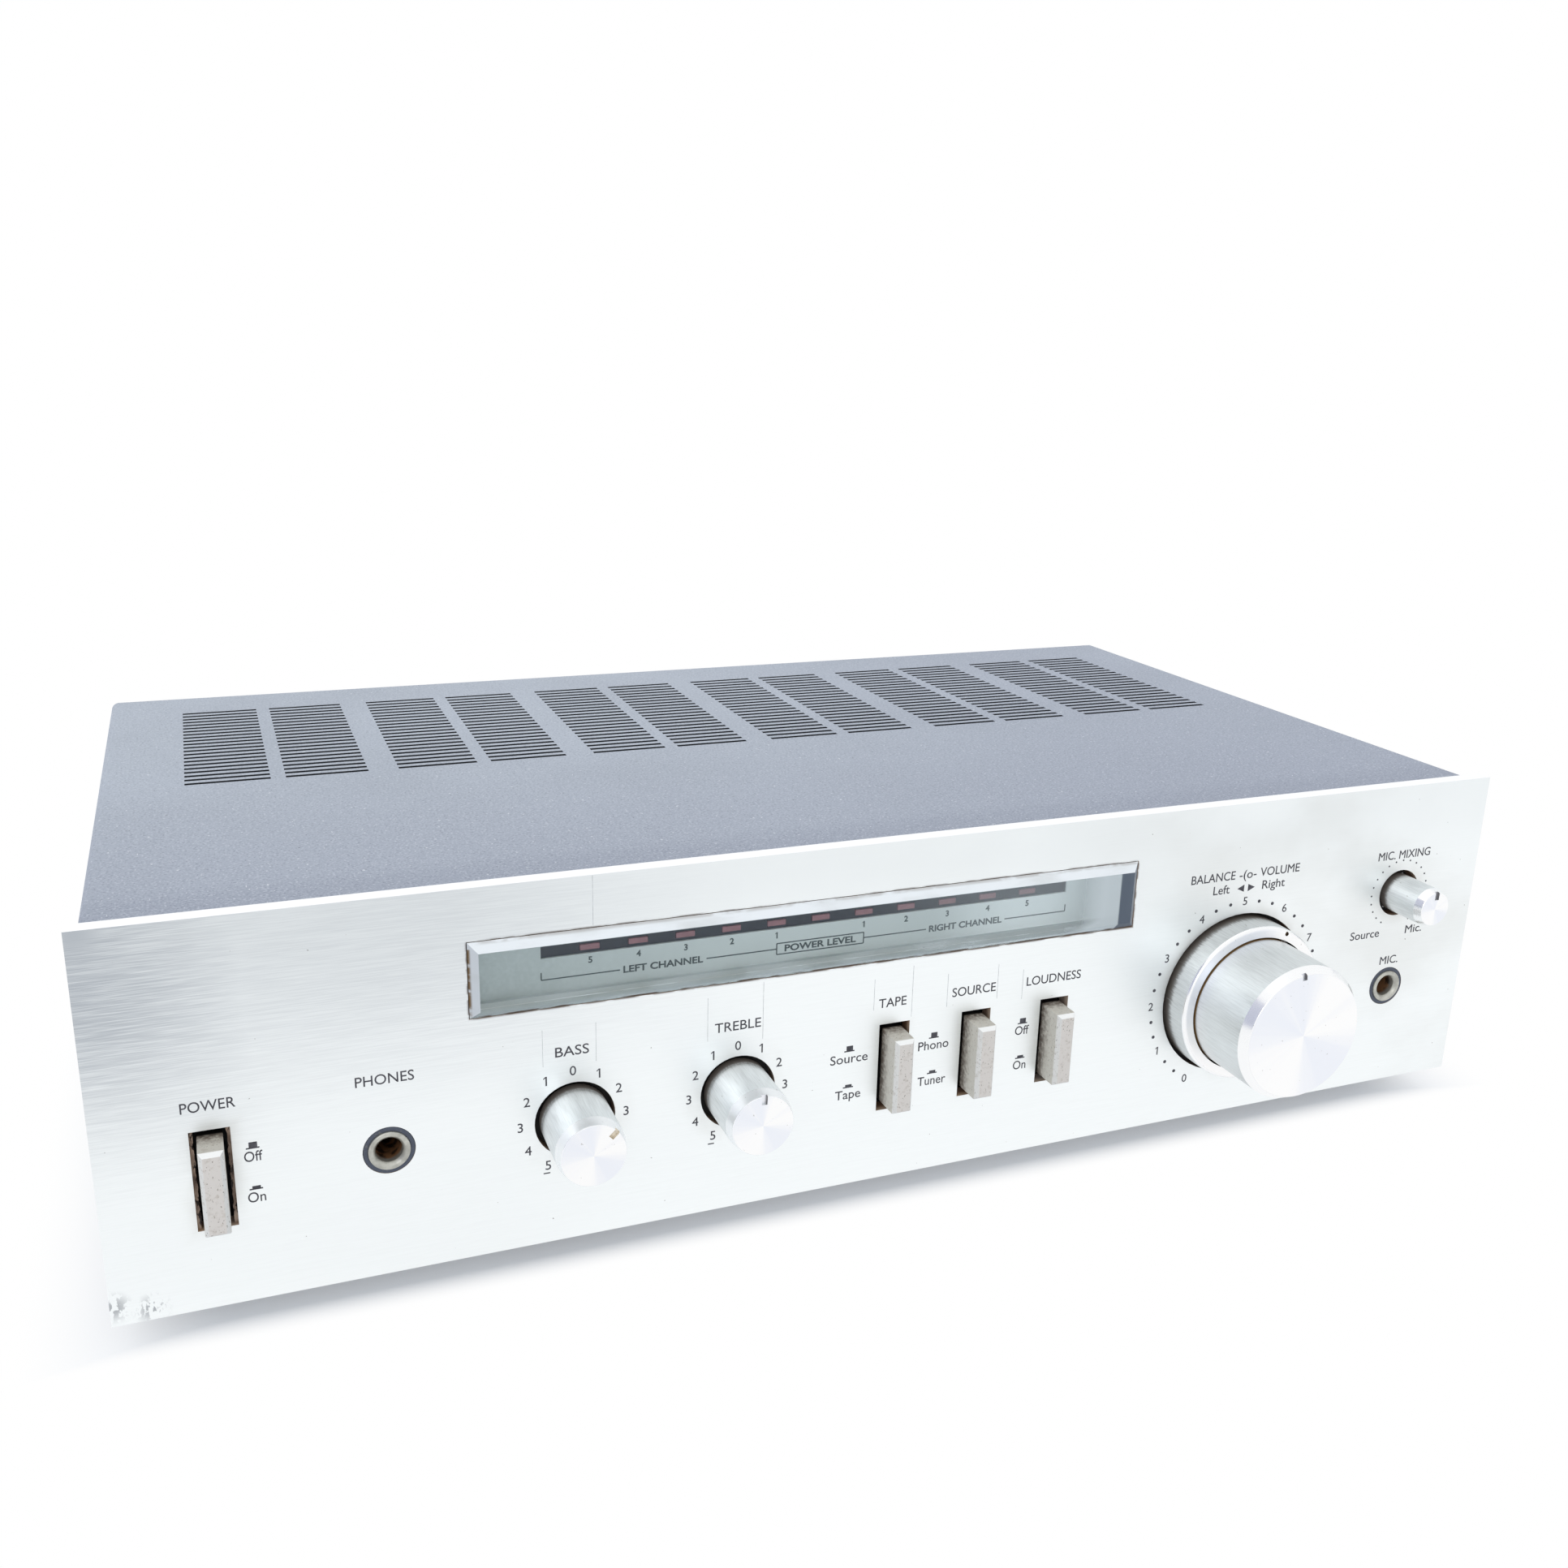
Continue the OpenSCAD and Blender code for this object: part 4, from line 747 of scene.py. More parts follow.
def mark(x, z, width, height, sides=4, front=None, turn=0.0):
    """Printed spot of ink: a line, a block, a dot or an arrow head, turned in the plane of the print."""
    if sides == 4:
        blot = added(bpy.ops.mesh.primitive_plane_add, size=1)
    else:
        blot = added(bpy.ops.mesh.primitive_circle_add, vertices=sides, radius=0.5, fill_type="NGON")
    blot.scale = (width, height, 1)
    blot.rotation_euler = (math.pi / 2, -turn, 0)
    blot.location = (x, FRONT if front is None else front, z)
    blot = settled(blot, "mark")
    with shaping(blot):
        drawn_out(0, -bpy.context.scene.amplifier_printing.ink, 0)
        faced_out()
    return blot


def on_dial(middle, reach, degrees):
    """Place at a distance in millimetres and an angle clockwise from the top of a dial."""
    angle = math.radians(degrees)
    return middle.x + reach * MM * math.sin(angle), middle.z + reach * MM * math.cos(angle)


class AMPLIFIER_OT_faceplate(bpy.types.Operator):
    """Brushed faceplate with rounded edges"""

    bl_idname = "amplifier.faceplate"
    bl_label = "Faceplate"

    edge = 0.22 * MM

    def execute(self, context):
        plate = softened("faceplate", "brushed_plate", self.edge)
        dress(plate, BODY, "faceplate_aluminium", faceplate_finish(), "faceplate")
        return {"FINISHED"}


class AMPLIFIER_OT_printing(bpy.types.Operator):
    """Words, dial numbers, dots and signs on the faceplate"""

    bl_idname = "amplifier.printing"
    bl_label = "Printing"

    # Text, piece below it, distance to the right and width
    heading_z = 53.2 * MM
    headings = (("POWER", "power_button", 0.2, 11.9), ("PHONES", "phones_jack_bush", -0.1, 13.7),
                ("BASS", "bass_knob", -0.5, 8.6), ("TREBLE", "treble_knob", -0.3, 12.7),
                ("TAPE", "tape_button", -0.9, 8.2), ("SOURCE", "source_button", -1.1, 13.5),
                ("LOUDNESS", "loudness_button", -0.7, 17.6))
    # Button, distance to the right, and text and width of its upper and its lower state
    states = (("power_button", 9.0, ("Off", 4.1), ("On", 4.0)),
              ("tape_button", -13.2, ("Source", 11.0), ("Tape", 7.5)),
              ("source_button", -12.8, ("Phono", 9.3), ("Tuner", 8.6)),
              ("loudness_button", -9.9, ("Off", 4.4), ("On", 4.1)))
    # Rise of each state's word over the button's middle, and height of its sign's crown
    state_rows = ((4.4, 1.4), (-6.4, 0.65))
    bar_rise = 2.15 * MM
    bar = (3.0 * MM, 0.35 * MM)
    crown_rise = 2.3 * MM
    crown_width = 1.9 * MM
    crown_right = 0.1 * MM
    # Text, distance to the right and upwards, and width
    beside_volume = (("BALANCE", -12.3, 37.8, 15.3), ("VOLUME", 11.4, 37.8, 14.2),
                     ("-(o-", -0.1, 37.7, 6.0), ("Left", -9.0, 33.7, 5.7), ("Right", 9.6, 33.7, 8.2))
    beside_mix = (("MIC. MIXING", 0.1, 12.6, 20.1), ("Source", -11.0, -12.6, 11.2),
                  ("Mic.", 8.2, -12.8, 6.5))
    beside_mic = (("MIC.", -0.2, 8.9, 7.1),)
    arrow_rise = 33.4 * MM
    arrow_apart = 1.5 * MM
    arrow_left = 0.3 * MM
    arrow = (2.6 * MM, 3.2 * MM)
    # Knob, radius of its numbers and distance of their circle to the right
    tone_dials = (("bass_knob", 13.6, -0.4), ("treble_knob", 13.4, -0.2))
    # Minus and plus under a tone dial
    sign_drop = 14.0 * MM
    sign_reach = 7.2 * MM
    stroke = 1.7 * MM
    # Radii in millimetres of the volume's numbers and dots and the mixing knob's dots
    volume_numbers, volume_dots, mix_dots = 29.6, 29.4, 10.6
    volume_drop = 0.35 * MM
    mix_dot_share = 0.55
    dot_sides = 12
    # Place across, lower end and upper end
    tape_lines = ((-97.3, 49.8, 59.8), (-83.8, 49.3, 59.9), (-54.4, 49.9, 62.1), (-39.2, 48.2, 64.4),
                  (-7.4, 51.5, 60.6), (4.0, 48.0, 63.0), (14.7, 49.3, 59.1), (30.3, 49.5, 59.8),
                  (38.3, 48.2, 57.1), (-84.1, 85.9, 98.8))
    tape_line = 0.09 * MM

    def execute(self, context):
        sizes = context.scene.amplifier_printing
        word.capital = letter_capital()
        volume, mix, mic = middle_of("volume_knob"), middle_of("mix_knob"), middle_of("mic_jack_bush")
        words, digits, signs, dots = [], [], [], []
        for text, node, right, width in self.headings:
            words.append(word(text, middle_of(node).x + right * MM, PLATE_LOW.z + self.heading_z,
                              sizes.capitals, width * MM))
        for node, side, *texts in self.states:
            middle = middle_of(node)
            for (text, width), (rise, crown) in zip(texts, self.state_rows):
                x, z = middle.x + side * MM, middle.z + rise * MM
                words.append(word(text, x, z, sizes.capitals, width * MM))
                signs.append(mark(x, z + self.bar_rise, *self.bar))
                signs.append(mark(x + self.crown_right, z + self.crown_rise + crown / 2 * MM,
                                  self.crown_width, crown * MM))
        for near, table in ((volume, self.beside_volume), (mix, self.beside_mix), (mic, self.beside_mic)):
            for text, right, up, width in table:
                words.append(word(text, near.x + right * MM, near.z + up * MM, sizes.capitals, width * MM))
        for side in (-1, 1):
            signs.append(mark(volume.x + side * self.arrow_apart - self.arrow_left,
                              volume.z + self.arrow_rise, *self.arrow, 3, turn=side * -math.pi / 2))
        for node, reach, right in self.tone_dials:
            middle = middle_of(node) + Vector((right * MM, 0, 0))
            for step in range(-5, 6):
                digits.extend(number(str(abs(step)), *on_dial(middle, reach, step * 30), sizes.digits))
            low = middle.z - self.sign_drop
            minus, plus = middle.x - self.sign_reach, middle.x + self.sign_reach
            signs.append(mark(minus, low, self.stroke, sizes.line))
            signs.append(mark(plus, low, self.stroke, sizes.line))
            signs.append(mark(plus, low, sizes.line, self.stroke))
        dial = volume - Vector((0, 0, self.volume_drop))
        for step in range(11):
            place = on_dial(dial, self.volume_numbers, step * 30 - 150)
            digits.extend(number(str(step), *place, sizes.digits))
        for angle in range(-150, 151, 10):
            if angle % 30:
                place = on_dial(dial, self.volume_dots, angle)
                dots.append(mark(*place, sizes.dot, sizes.dot, self.dot_sides))
        small = sizes.dot * self.mix_dot_share
        for angle in range(-150, 151, 15):
            dots.append(mark(*on_dial(mix, self.mix_dots, angle), small, small, self.dot_sides))
        ink = ink_finish("faceplate_ink", finishes().ink)
        for pieces, name in ((words, "printed_words"), (digits, "printed_numbers"),
                             (signs, "printed_signs"), (dots, "printed_dots")):
            dress(joined(pieces, name), BODY, "faceplate_aluminium", ink)
        lines = [mark(x * MM, PLATE_LOW.z + (low + high) / 2 * MM, self.tape_line, (high - low) * MM)
                 for x, low, high in self.tape_lines]
        dress(joined(lines, "old_tape_lines"), BODY, "faceplate_aluminium",
              ink_finish("old_tape_grey", srgb(164, 166, 168)))
        return {"FINISHED"}


class AMPLIFIER_OT_cover(bpy.types.Operator):
    """Painted cover with its slots"""

    bl_idname = "amplifier.cover"
    bl_label = "Cover"

    def execute(self, context):
        shell = copy_of(frame["nodes"]["top_cover"], "painted_cover")
        with shaping(shell):
            bpy.ops.mesh.remove_doubles(threshold=MERGE)
        only(shell)
        bpy.ops.object.shade_flat()
        dress(shell, BODY, "cover_paint", cover_finish(), "top_cover")
        return {"FINISHED"}


class AMPLIFIER_OT_display(bpy.types.Operator):
    """Clear lens, scale with its printing, and lamps"""

    bl_idname = "amplifier.display"
    bl_label = "Display"

    # Nearness and widening that thick acrylic gives to what lies behind it
    lift = 2.0 * MM
    stretch = 1.01
    lens_edge = 0.12 * MM
    lamp_edge = 0.15 * MM
    lamp_width = 5 * MM
    lamp_gaps = 10
    number_drop = 3.4 * MM
    number_height = 1.6 * MM
    line_drop = 7.3 * MM
    word_reach = 43.4 * MM
    word_gap = 0.9 * MM
    # Side, text and width
    channels = ((-1, "LEFT CHANNEL", 21.2 * MM), (1, "RIGHT CHANNEL", 22.6 * MM))
    level_width = 20.5 * MM
    box_half = 1.55 * MM
    # Rise of the outer ticks over the line, and drop and rise of the inner ones
    outer_tick = 2 * MM
    inner_tick = (1.5 * MM, 1.6 * MM)

    def execute(self, context):
        colours = finishes()
        lens = softened("window_lens", "bevelled_lens", self.lens_edge)
        dress(lens, BODY, "lens_acrylic", self.acrylic(), "window_lens")
        face = self.nearer("scale_plate", "scale_face")
        grey_green = self.scale_paint(colours)
        dress(face, BODY, "scale_paint", grey_green, "scale_plate")
        paint(grey_green, "display_frame")
        strip = self.nearer("led_holder", "lamp_strip")
        dark = plastic("lamp_strip", colours.strip, srgb(44, 48, 62), 0.45, scale=500)
        dress(strip, BODY, "black_plastic", dark, "led_holder")
        lamps = rounded(self.nearer("leds", "lamp_row"), self.lamp_edge)
        red = Finish("dull_red_lamp")
        glow = red.noise(600, 3)
        tone = red.blend(red.band(glow, 0.3, 0.75), shade(colours.lamp, 0.88), shade(colours.lamp, 1.12))
        dress(lamps, BODY, "lamp_red", red.surface(tone, roughness=0.35 + glow * 0.1), "leds")
        self.print_scale(context.scene.amplifier_printing)
        return {"FINISHED"}

    def nearer(self, node, name):
        """Copy of a piece behind the lens, at the place and size that the lens gives it."""
        piece = merged_copy(node, name)
        row = middle_of("leds").x
        piece.data.transform(Matrix.Translation((row, -self.lift, 0))
                             @ Matrix.Diagonal((self.stretch, 1, 1, 1))
                             @ Matrix.Translation((-row, 0, 0)))
        return piece

    def acrylic(self):
        """Clear block with bevels painted white, grey and dark as lit and shaded, mirrored walls, a painted
        pale veil towards its right end with painted shade at the very end, and rust where it meets the plate.
        """
        f = Finish("clear_acrylic")
        low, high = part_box("window_lens")
        x, y, z = (f.axis(i, f.facing) for i in range(3))
        depth, height, from_right = f.axis(1), f.axis(2) - low.z, high.x - f.axis(0)
        film = f.noise((60, 60, 240), 4)
        patchy = f.band(f.noise((160, 160, 420), 3, seed=0.6), 0.35, 0.55)
        rust = f.band(depth, FRONT - 0.8 * MM, FRONT - 0.2 * MM) * patchy * f.band(z, 0.6, 0.3, 0.35, 1.0)
        # Painted light: the bevels are white on top, grey on the left and dark on the right, by which way
        # they face
        tone = f.coats(
            f.blend(f.band(x, -0.3, -0.5), srgb(238, 242, 245), srgb(196, 200, 204)),
            (f.band(x, 0.3, 0.5), srgb(84, 92, 106)),
            (f.band(film, 0.45, 0.75) * 0.25, srgb(160, 160, 154)),
            (rust, srgb(104, 80, 48)))
        edge = f.shader(tone, roughness=0.22 + film * 0.2)
        glint = f.node("LayerWeight", {}, {"Blend": 0.5}, output="Facing") ** 5 * 0.96 + 0.04
        through = f.node("BsdfTransparent", {}, {"Color": (0.95, 0.975, 0.97, 1)})
        clear = f.mixed(glint, through, f.gloss((0.5, 0.55, 0.65), 0.06))
        # Painted shade: a dark band at the lens's right end
        painted_shade_end = f.band(from_right, 6.8 * MM, 6.2 * MM)
        seam = f.band(height, 0.9 * MM, 0.5 * MM) * patchy
        dust_with_painted_light_and_shade = f.coats(f.blend(painted_shade_end, srgb(212, 220, 222), srgb(84, 94, 108)),
                        (seam, srgb(74, 52, 36)))
        # Painted light: a pale veil, strongest towards the right end, brightens what is seen through the lens
        painted_light_veil = f.band(from_right, 100 * MM, 30 * MM) * 0.2
        haze_and_painted_light = painted_light_veil.most(f.band(from_right, 24 * MM, 11 * MM) * 0.7)
        settled_dust = f.band(height, 9 * MM, 1 * MM) * f.band(film, 0.4, 0.7) * 0.3
        dust_light_and_shade_mask = (settled_dust + haze_and_painted_light).least(0.7).most(painted_shade_end * 0.9).most(seam * 0.9)
        dust_light_and_shade_mask = dust_light_and_shade_mask * f.band(depth, FRONT + 1 * MM, FRONT)
        front = f.mixed(dust_light_and_shade_mask, clear, f.shader(dust_with_painted_light_and_shade, roughness=0.6))
        bevel = f.band(abs(x).most(z), 0.3, 0.45) * f.band(y, 0.3, 0.0)
        skin = f.mixed(bevel, front, edge)
        wall = f.band(abs(y), 0.3, 0.1)
        return f.end(f.mixed(wall, skin, f.gloss((0.96, 0.97, 0.97), 0.08)))

    def scale_paint(self, colours):
        """Grey-green paint with a fine grain, with painted light making it paler towards the right and white
        at the right end.
        """
        f = Finish("scale_paint")
        x = f.axis(0)
        grain = f.noise(1100, 3)
        streaks = f.noise((20, 20, 260), 3, seed=0.5)
        tone = f.coats(
            f.blend(f.band(grain, 0.35, 0.75), shade(colours.scale, 0.93), shade(colours.scale, 1.05)),
            (f.band(streaks, 0.5, 0.75) * 0.25, srgb(190, 197, 196)),
            # Painted light: paler towards the right and white at the right end
            (f.band(x, -0.13, -0.03) * 0.85, srgb(216, 218, 217)),
            (f.band(x, 0.008, 0.04), WHITE))
        return f.surface(tone, roughness=0.55 + grain * 0.1, normal=f.bump(grain, 0.02 * MM, 0.3))

    def print_scale(self, sizes):
        """Numbers under the lamps and the bracket with its words."""
        row = middle_of("leds")
        strip_low, strip_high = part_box("leds")
        pitch = (strip_high.x - strip_low.x - self.lamp_width) / self.lamp_gaps * self.stretch
        half = 6 * pitch
        line_z = row.z - self.line_drop
        front, weight = SCALE_FRONT - self.lift, sizes.scale_weight
        printed = []

        def put(text, x, width):
            printed.append(word(text, x, line_z, sizes.scale_capitals, width, front, weight))

        def rule(x0, x1, z0, z1):
            printed.append(mark((x0 + x1) / 2, (z0 + z1) / 2, max(x1 - x0, sizes.line),
                                max(z1 - z0, sizes.line), front=front))

        for side, text, width in self.channels:
            for step in range(1, 6):
                printed.extend(number(str(step), row.x + side * step * pitch, row.z - self.number_drop,
                                      self.number_height, front, weight))
            word_x, gap = row.x + side * self.word_reach, width / 2 + self.word_gap
            outer, inner = row.x + side * half, row.x + side * pitch
            put(text, word_x, width)
            rule(*sorted((outer, word_x + side * gap)), line_z, line_z)
            rule(*sorted((word_x - side * gap, inner)), line_z, line_z)
            rule(outer, outer, line_z, line_z + self.outer_tick)
            rule(inner, inner, line_z - self.inner_tick[0], line_z + self.inner_tick[1])
            box_z = line_z + side * self.box_half
            rule(row.x - pitch, row.x + pitch, box_z, box_z)
        put("POWER LEVEL", row.x, self.level_width)
        dress(joined(printed, "printed_scale"), BODY, "scale_paint",
              ink_finish("scale_ink", srgb(58, 66, 66)))


class AMPLIFIER_OT_buttons(bpy.types.Operator):
    """Four bevelled push-button caps, and the dirt in the power button's slot"""

    bl_idname = "amplifier.buttons"
    bl_label = "Buttons"

    bevel = 0.9 * MM
    bevel_depth = 1.3 * MM
    edge = 0.22 * MM
    slot_side = 1.65 * MM
    slot_end = 2.05 * MM
    crust = 0.8 * MM
    crust_depth = 2.5 * MM
    crust_steps = 24

    def execute(self, context):
        finish = button_finish()
        low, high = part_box("power_button")
        size, middle = high - low, (low + high) / 2
        first = self.cap(low, high, size, middle)
        caps = [first] + [copy_of(first, name + "_cap", middle_of(name + "_button") - middle)
                          for name in BUTTONS[1:]]
        for cap, name in zip(caps, BUTTONS):
            dress(cap, name, "button_plastic", finish, name + "_button")
        self.slot_dirt(middle, size)
        return {"FINISHED"}

    def cap(self, low, high, size, middle):
        """Block whose front is drawn out into a bevel."""
        body_depth = size.y - self.bevel_depth
        piece = settled(added(bpy.ops.mesh.primitive_cube_add, size=1,
                              location=(middle.x, high.y - body_depth / 2, middle.z),
                              scale=(size.x, body_depth, size.z)), "power_cap")
        with shaping(piece):
            bpy.ops.mesh.select_all(action="DESELECT")
            bpy.ops.object.mode_set(mode="OBJECT")
            for face in piece.data.polygons:
                face.select = face.normal.y < -0.9
            bpy.ops.object.mode_set(mode="EDIT")
            bpy.ops.mesh.select_mode(type="FACE")
            drawn_out(0, -self.bevel_depth, 0)
            bpy.ops.transform.resize(value=(1 - 2 * self.bevel / size.x, 1, 1 - 2 * self.bevel / size.z),
                                     center_override=(middle.x, low.y, middle.z))
        return rounded(piece, self.edge, 3)

    def slot_dirt(self, middle, size):
        """Brown crust of uneven thickness on both side walls of the power button's slot."""
        f = Finish("slot_dirt")
        lumps = f.noise((500, 500, 260), 4)
        holes = f.band(f.noise((900, 900, 420), 3, seed=0.3), 0.54, 0.62)
        tone = f.coats(f.blend(f.band(lumps, 0.3, 0.7), srgb(118, 98, 86), srgb(184, 162, 144)),
                       (holes, srgb(46, 38, 36)))
        height = size.z + 2 * self.slot_end
        crusts = []
        for side in (-1, 1):
            wall = Vector((middle.x + side * (size.x / 2 + self.slot_side), FRONT + self.crust_depth,
                           middle.z - height / 2))
            crust = added(bpy.ops.mesh.primitive_plane_add, size=1,
                          location=wall - Vector((side * self.crust / 2, 0, 0)))
            crust.scale = (self.crust, self.crust_depth, 1)
            crust = settled(crust, "crust")
            thickness = 1.0
            with shaping(crust):
                for step in range(self.crust_steps):
                    drawn_out(0, 0, height / self.crust_steps)
                    next_thickness = self.crust_share(step, side)
                    bpy.ops.transform.resize(value=(next_thickness / thickness, 1, 1),
                                             center_override=wall)
                    thickness = next_thickness
                faced_out()
            crusts.append(crust)
        dress(joined(crusts, "slot_dirt"), BODY, "faceplate_aluminium", f.surface(tone, roughness=0.8))

    def crust_share(self, step, side):
        """Share of the crust's mean thickness at one step of its height, from two waves."""
        return 1 + 0.16 * math.sin(2.3 * step + side) + 0.12 * math.sin(0.9 * step)


def pointer_of(joint):
    """Axis of a knob's joint and the turn from the middle of its range to where it rests."""
    found = next(j for j in frame["joints"] if j["name"] == joint)
    low, high = found["range_deg"]
    return Vector(found["pos_m"]), Matrix.Rotation(math.radians(-(low + high) / 2), 4, "Y")


def notched(piece, joint, face, radius, floor_painted):
    """Saws the pointer notch into a turned knob and gives its walls, and its floor if asked, the second
    material: beige pointer paint on the bass, painted shade on the others.
    """
    axis, turn = pointer_of(joint)
    wide, long, deep = NOTCH
    tool = settled(added(bpy.ops.mesh.primitive_cube_add, size=1, scale=(wide, 2 * deep, 2 * long)),
                   "notch_tool")
    tool.data.transform(Matrix.Translation((axis.x, face, axis.z)) @ turn
                        @ Matrix.Translation((0, 0, radius)))
    cut(piece, tool)
    pointer = (turn @ Vector((0, 0, 1))).normalized()
    across = (turn @ Vector((1, 0, 0))).normalized()
    for part in piece.data.polygons:
        from_axis = part.center - axis
        beside = abs(from_axis.dot(across)) < wide * 0.51
        in_notch = beside and from_axis.dot(pointer) > radius - long * 1.01
        sunk = face + 0.02 * MM < part.center.y < face + deep * 1.01
        painted = floor_painted or abs(part.normal.dot(across)) > 0.7
        part.material_index = 1 if in_notch and sunk and painted else 0


def knob_outline(radius, face, back, bevel, taper, hollow):
    """Outline of a knob from the middle of its face round to the rim of its back."""
    centre, ease, well, hub = 0.3 * MM, 0.15 * MM, 1.2 * MM, 3.1 * MM
    rim, lip, floor = radius - bevel, radius - hollow, back - well
    return [(centre, face), (radius * 0.5, face), (rim - ease, face),
            (rim - ease * 0.35, face + ease * 0.25), (rim + bevel * ease / taper, face + ease),
            (radius - bevel * 0.02, face + taper * 0.98), (radius, face + taper),
            (radius, (face + back) / 2), (radius, back - ease), (radius - ease, back),
            (lip, back), (lip, floor), (hub, floor)]


def knob(name, bevel, taper, hollow, steps, metal, notch_paint, floor_painted=False):
    """Turned knob with its pointer notch, on its own body."""
    node = name + "_knob"
    low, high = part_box(node)
    radius = (high.x - low.x) / 2
    outline = knob_outline(radius, low.y, high.y, bevel * MM, taper * MM, hollow * MM)
    piece = turned("turned_" + node, (low + high) / 2, outline, steps)
    for finish in (metal, notch_paint):
        piece.data.materials.append(finish.material)
    notched(piece, name + "_turn", low.y, radius, floor_painted)
    smooth(piece, degrees=12)
    dress(piece, name, "knob_aluminium", metal, node)


class AMPLIFIER_OT_knobs(bpy.types.Operator):
    """Bass, treble and mixing knobs with their pointer notches"""

    bl_idname = "amplifier.knobs"
    bl_label = "Knobs"

    hollow = 1.2
    steps = 128

    def execute(self, context):
        colours = finishes()
        # The dark notch walls are painted shade; the bass notch has beige pointer paint
        beige, dark = ink_finish("pointer_paint", colours.notch), ink_finish("notch_wall_painted_shade", srgb(96, 94, 96))
        for name, bevel, taper, polish, notch_paint in (("bass", 0.72, 3.4, 0.5, beige),
                                                        ("treble", 0.72, 3.4, 0.5, dark),
                                                        ("mix", 0.8, 2.5, 0.95, dark)):
            node = name + "_knob"
            metal = turned_metal("spun_" + node, node, colours.knob, polish=polish)
            knob(name, bevel, taper, self.hollow, self.steps, metal, notch_paint, notch_paint is beige)
        return {"FINISHED"}


class AMPLIFIER_OT_volume_and_balance(bpy.types.Operator):
    """Large volume knob inside its balance ring"""

    bl_idname = "amplifier.volume_and_balance"
    bl_label = "Volume and balance"

    # Bevel, taper and hollow of the knob in millimetres
    shape = (1.6, 2.6, 2.5)
    steps = 160
    ring_edge = 0.12 * MM
    dot_inset = 1.2 * MM
    ring_soil = 4.2 * MM

    def execute(self, context):
        colours = finishes()
        low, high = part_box("balance_ring")
        # Painted shade: the volume knob uses a darker copy of the knob colour
        metal = turned_metal("spun_volume_knob", "volume_knob", shade(colours.knob, 0.95), 0.6, collar=low.y)
        # Painted shade on the volume knob's notch walls
        dark = ink_finish("volume_notch_wall_painted_shade", srgb(96, 94, 96))
        knob("volume", *self.shape, self.steps, metal, dark)

        ring = softened("balance_ring", "turned_balance_ring", self.ring_edge, smoothed=40)
        axis, turn = pointer_of("balance_turn")
        dot = axis + turn @ Vector((0, 0, (high.x - low.x) / 2 - self.dot_inset))
        # Painted shade: the ring uses a darker copy of the knob colour
        spun = turned_metal("spun_balance_ring", "balance_ring", shade(colours.knob, 0.86),
                            soiled=self.ring_soil, dot=dot)
        dress(ring, "balance", "ring_aluminium", spun, "balance_ring")
        return {"FINISHED"}


class AMPLIFIER_OT_jacks(bpy.types.Operator):
    """Phones and microphone jacks"""

    bl_idname = "amplifier.jacks"
    bl_label = "Jacks"

    bore = 3.2 * MM
    mouth = 0.8 * MM
    ease = 0.3 * MM
    soft = 0.1 * MM
    steps = 64
    body_edge = 0.12 * MM

    def execute(self, context):
        colours = finishes()
        nickel = self.nickel(colours)
        body = plastic("jack_moulding", colours.jack, srgb(120, 116, 108), 0.45)
        for name in ("phones", "mic"):
            node = name + "_jack_bush"
            low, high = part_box(node)
            bush = turned("turned_" + node, (low + high) / 2, self.outline(low, high), self.steps)
            dress(bush, BODY, "jack_nickel", nickel, node)
            holder = softened(name + "_jack_body", name + "_jack_moulding", self.body_edge)
            dress(holder, BODY, "jack_plastic", body, name + "_jack_body")
        return {"FINISHED"}

    def outline(self, low, high):
        """Outline of a bush from the back of its bore over its mouth to its rim."""
        bore, mouth, ease, soft = self.bore, self.mouth, self.ease, self.soft
        radius = (high.x - low.x) / 2
        return [(bore, high.y), (bore, low.y + mouth + ease), (bore + soft, low.y + mouth),
                (bore + mouth - soft, low.y + soft), (bore + mouth + soft, low.y),
                *corner(radius - ease, low.y + ease, ease, -90, 0),
                (radius, high.y), (bore, high.y)]

    def nickel(self, colours):
        """Dull nickel that turns brown inside the bore."""
        f = Finish("jack_nickel")
        stain = f.noise(420, 4)
        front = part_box("phones_jack_bush")[0].y
        inside = f.band(f.axis(1), front + 1.0 * MM, front + 3.0 * MM)
        brown = f.blend(f.band(stain, 0.4, 0.6), srgb(44, 32, 24), srgb(128, 92, 62))
        tone = f.coats(f.blend(f.band(stain, 0.35, 0.7), colours.nickel, shade(colours.nickel, 0.72)),
                       (inside, brown))
        return f.surface(tone, metallic=0.85 - inside * 0.6, roughness=0.3 + stain * 0.25,
                         normal=f.bump(stain, 0.03 * MM, 0.4))


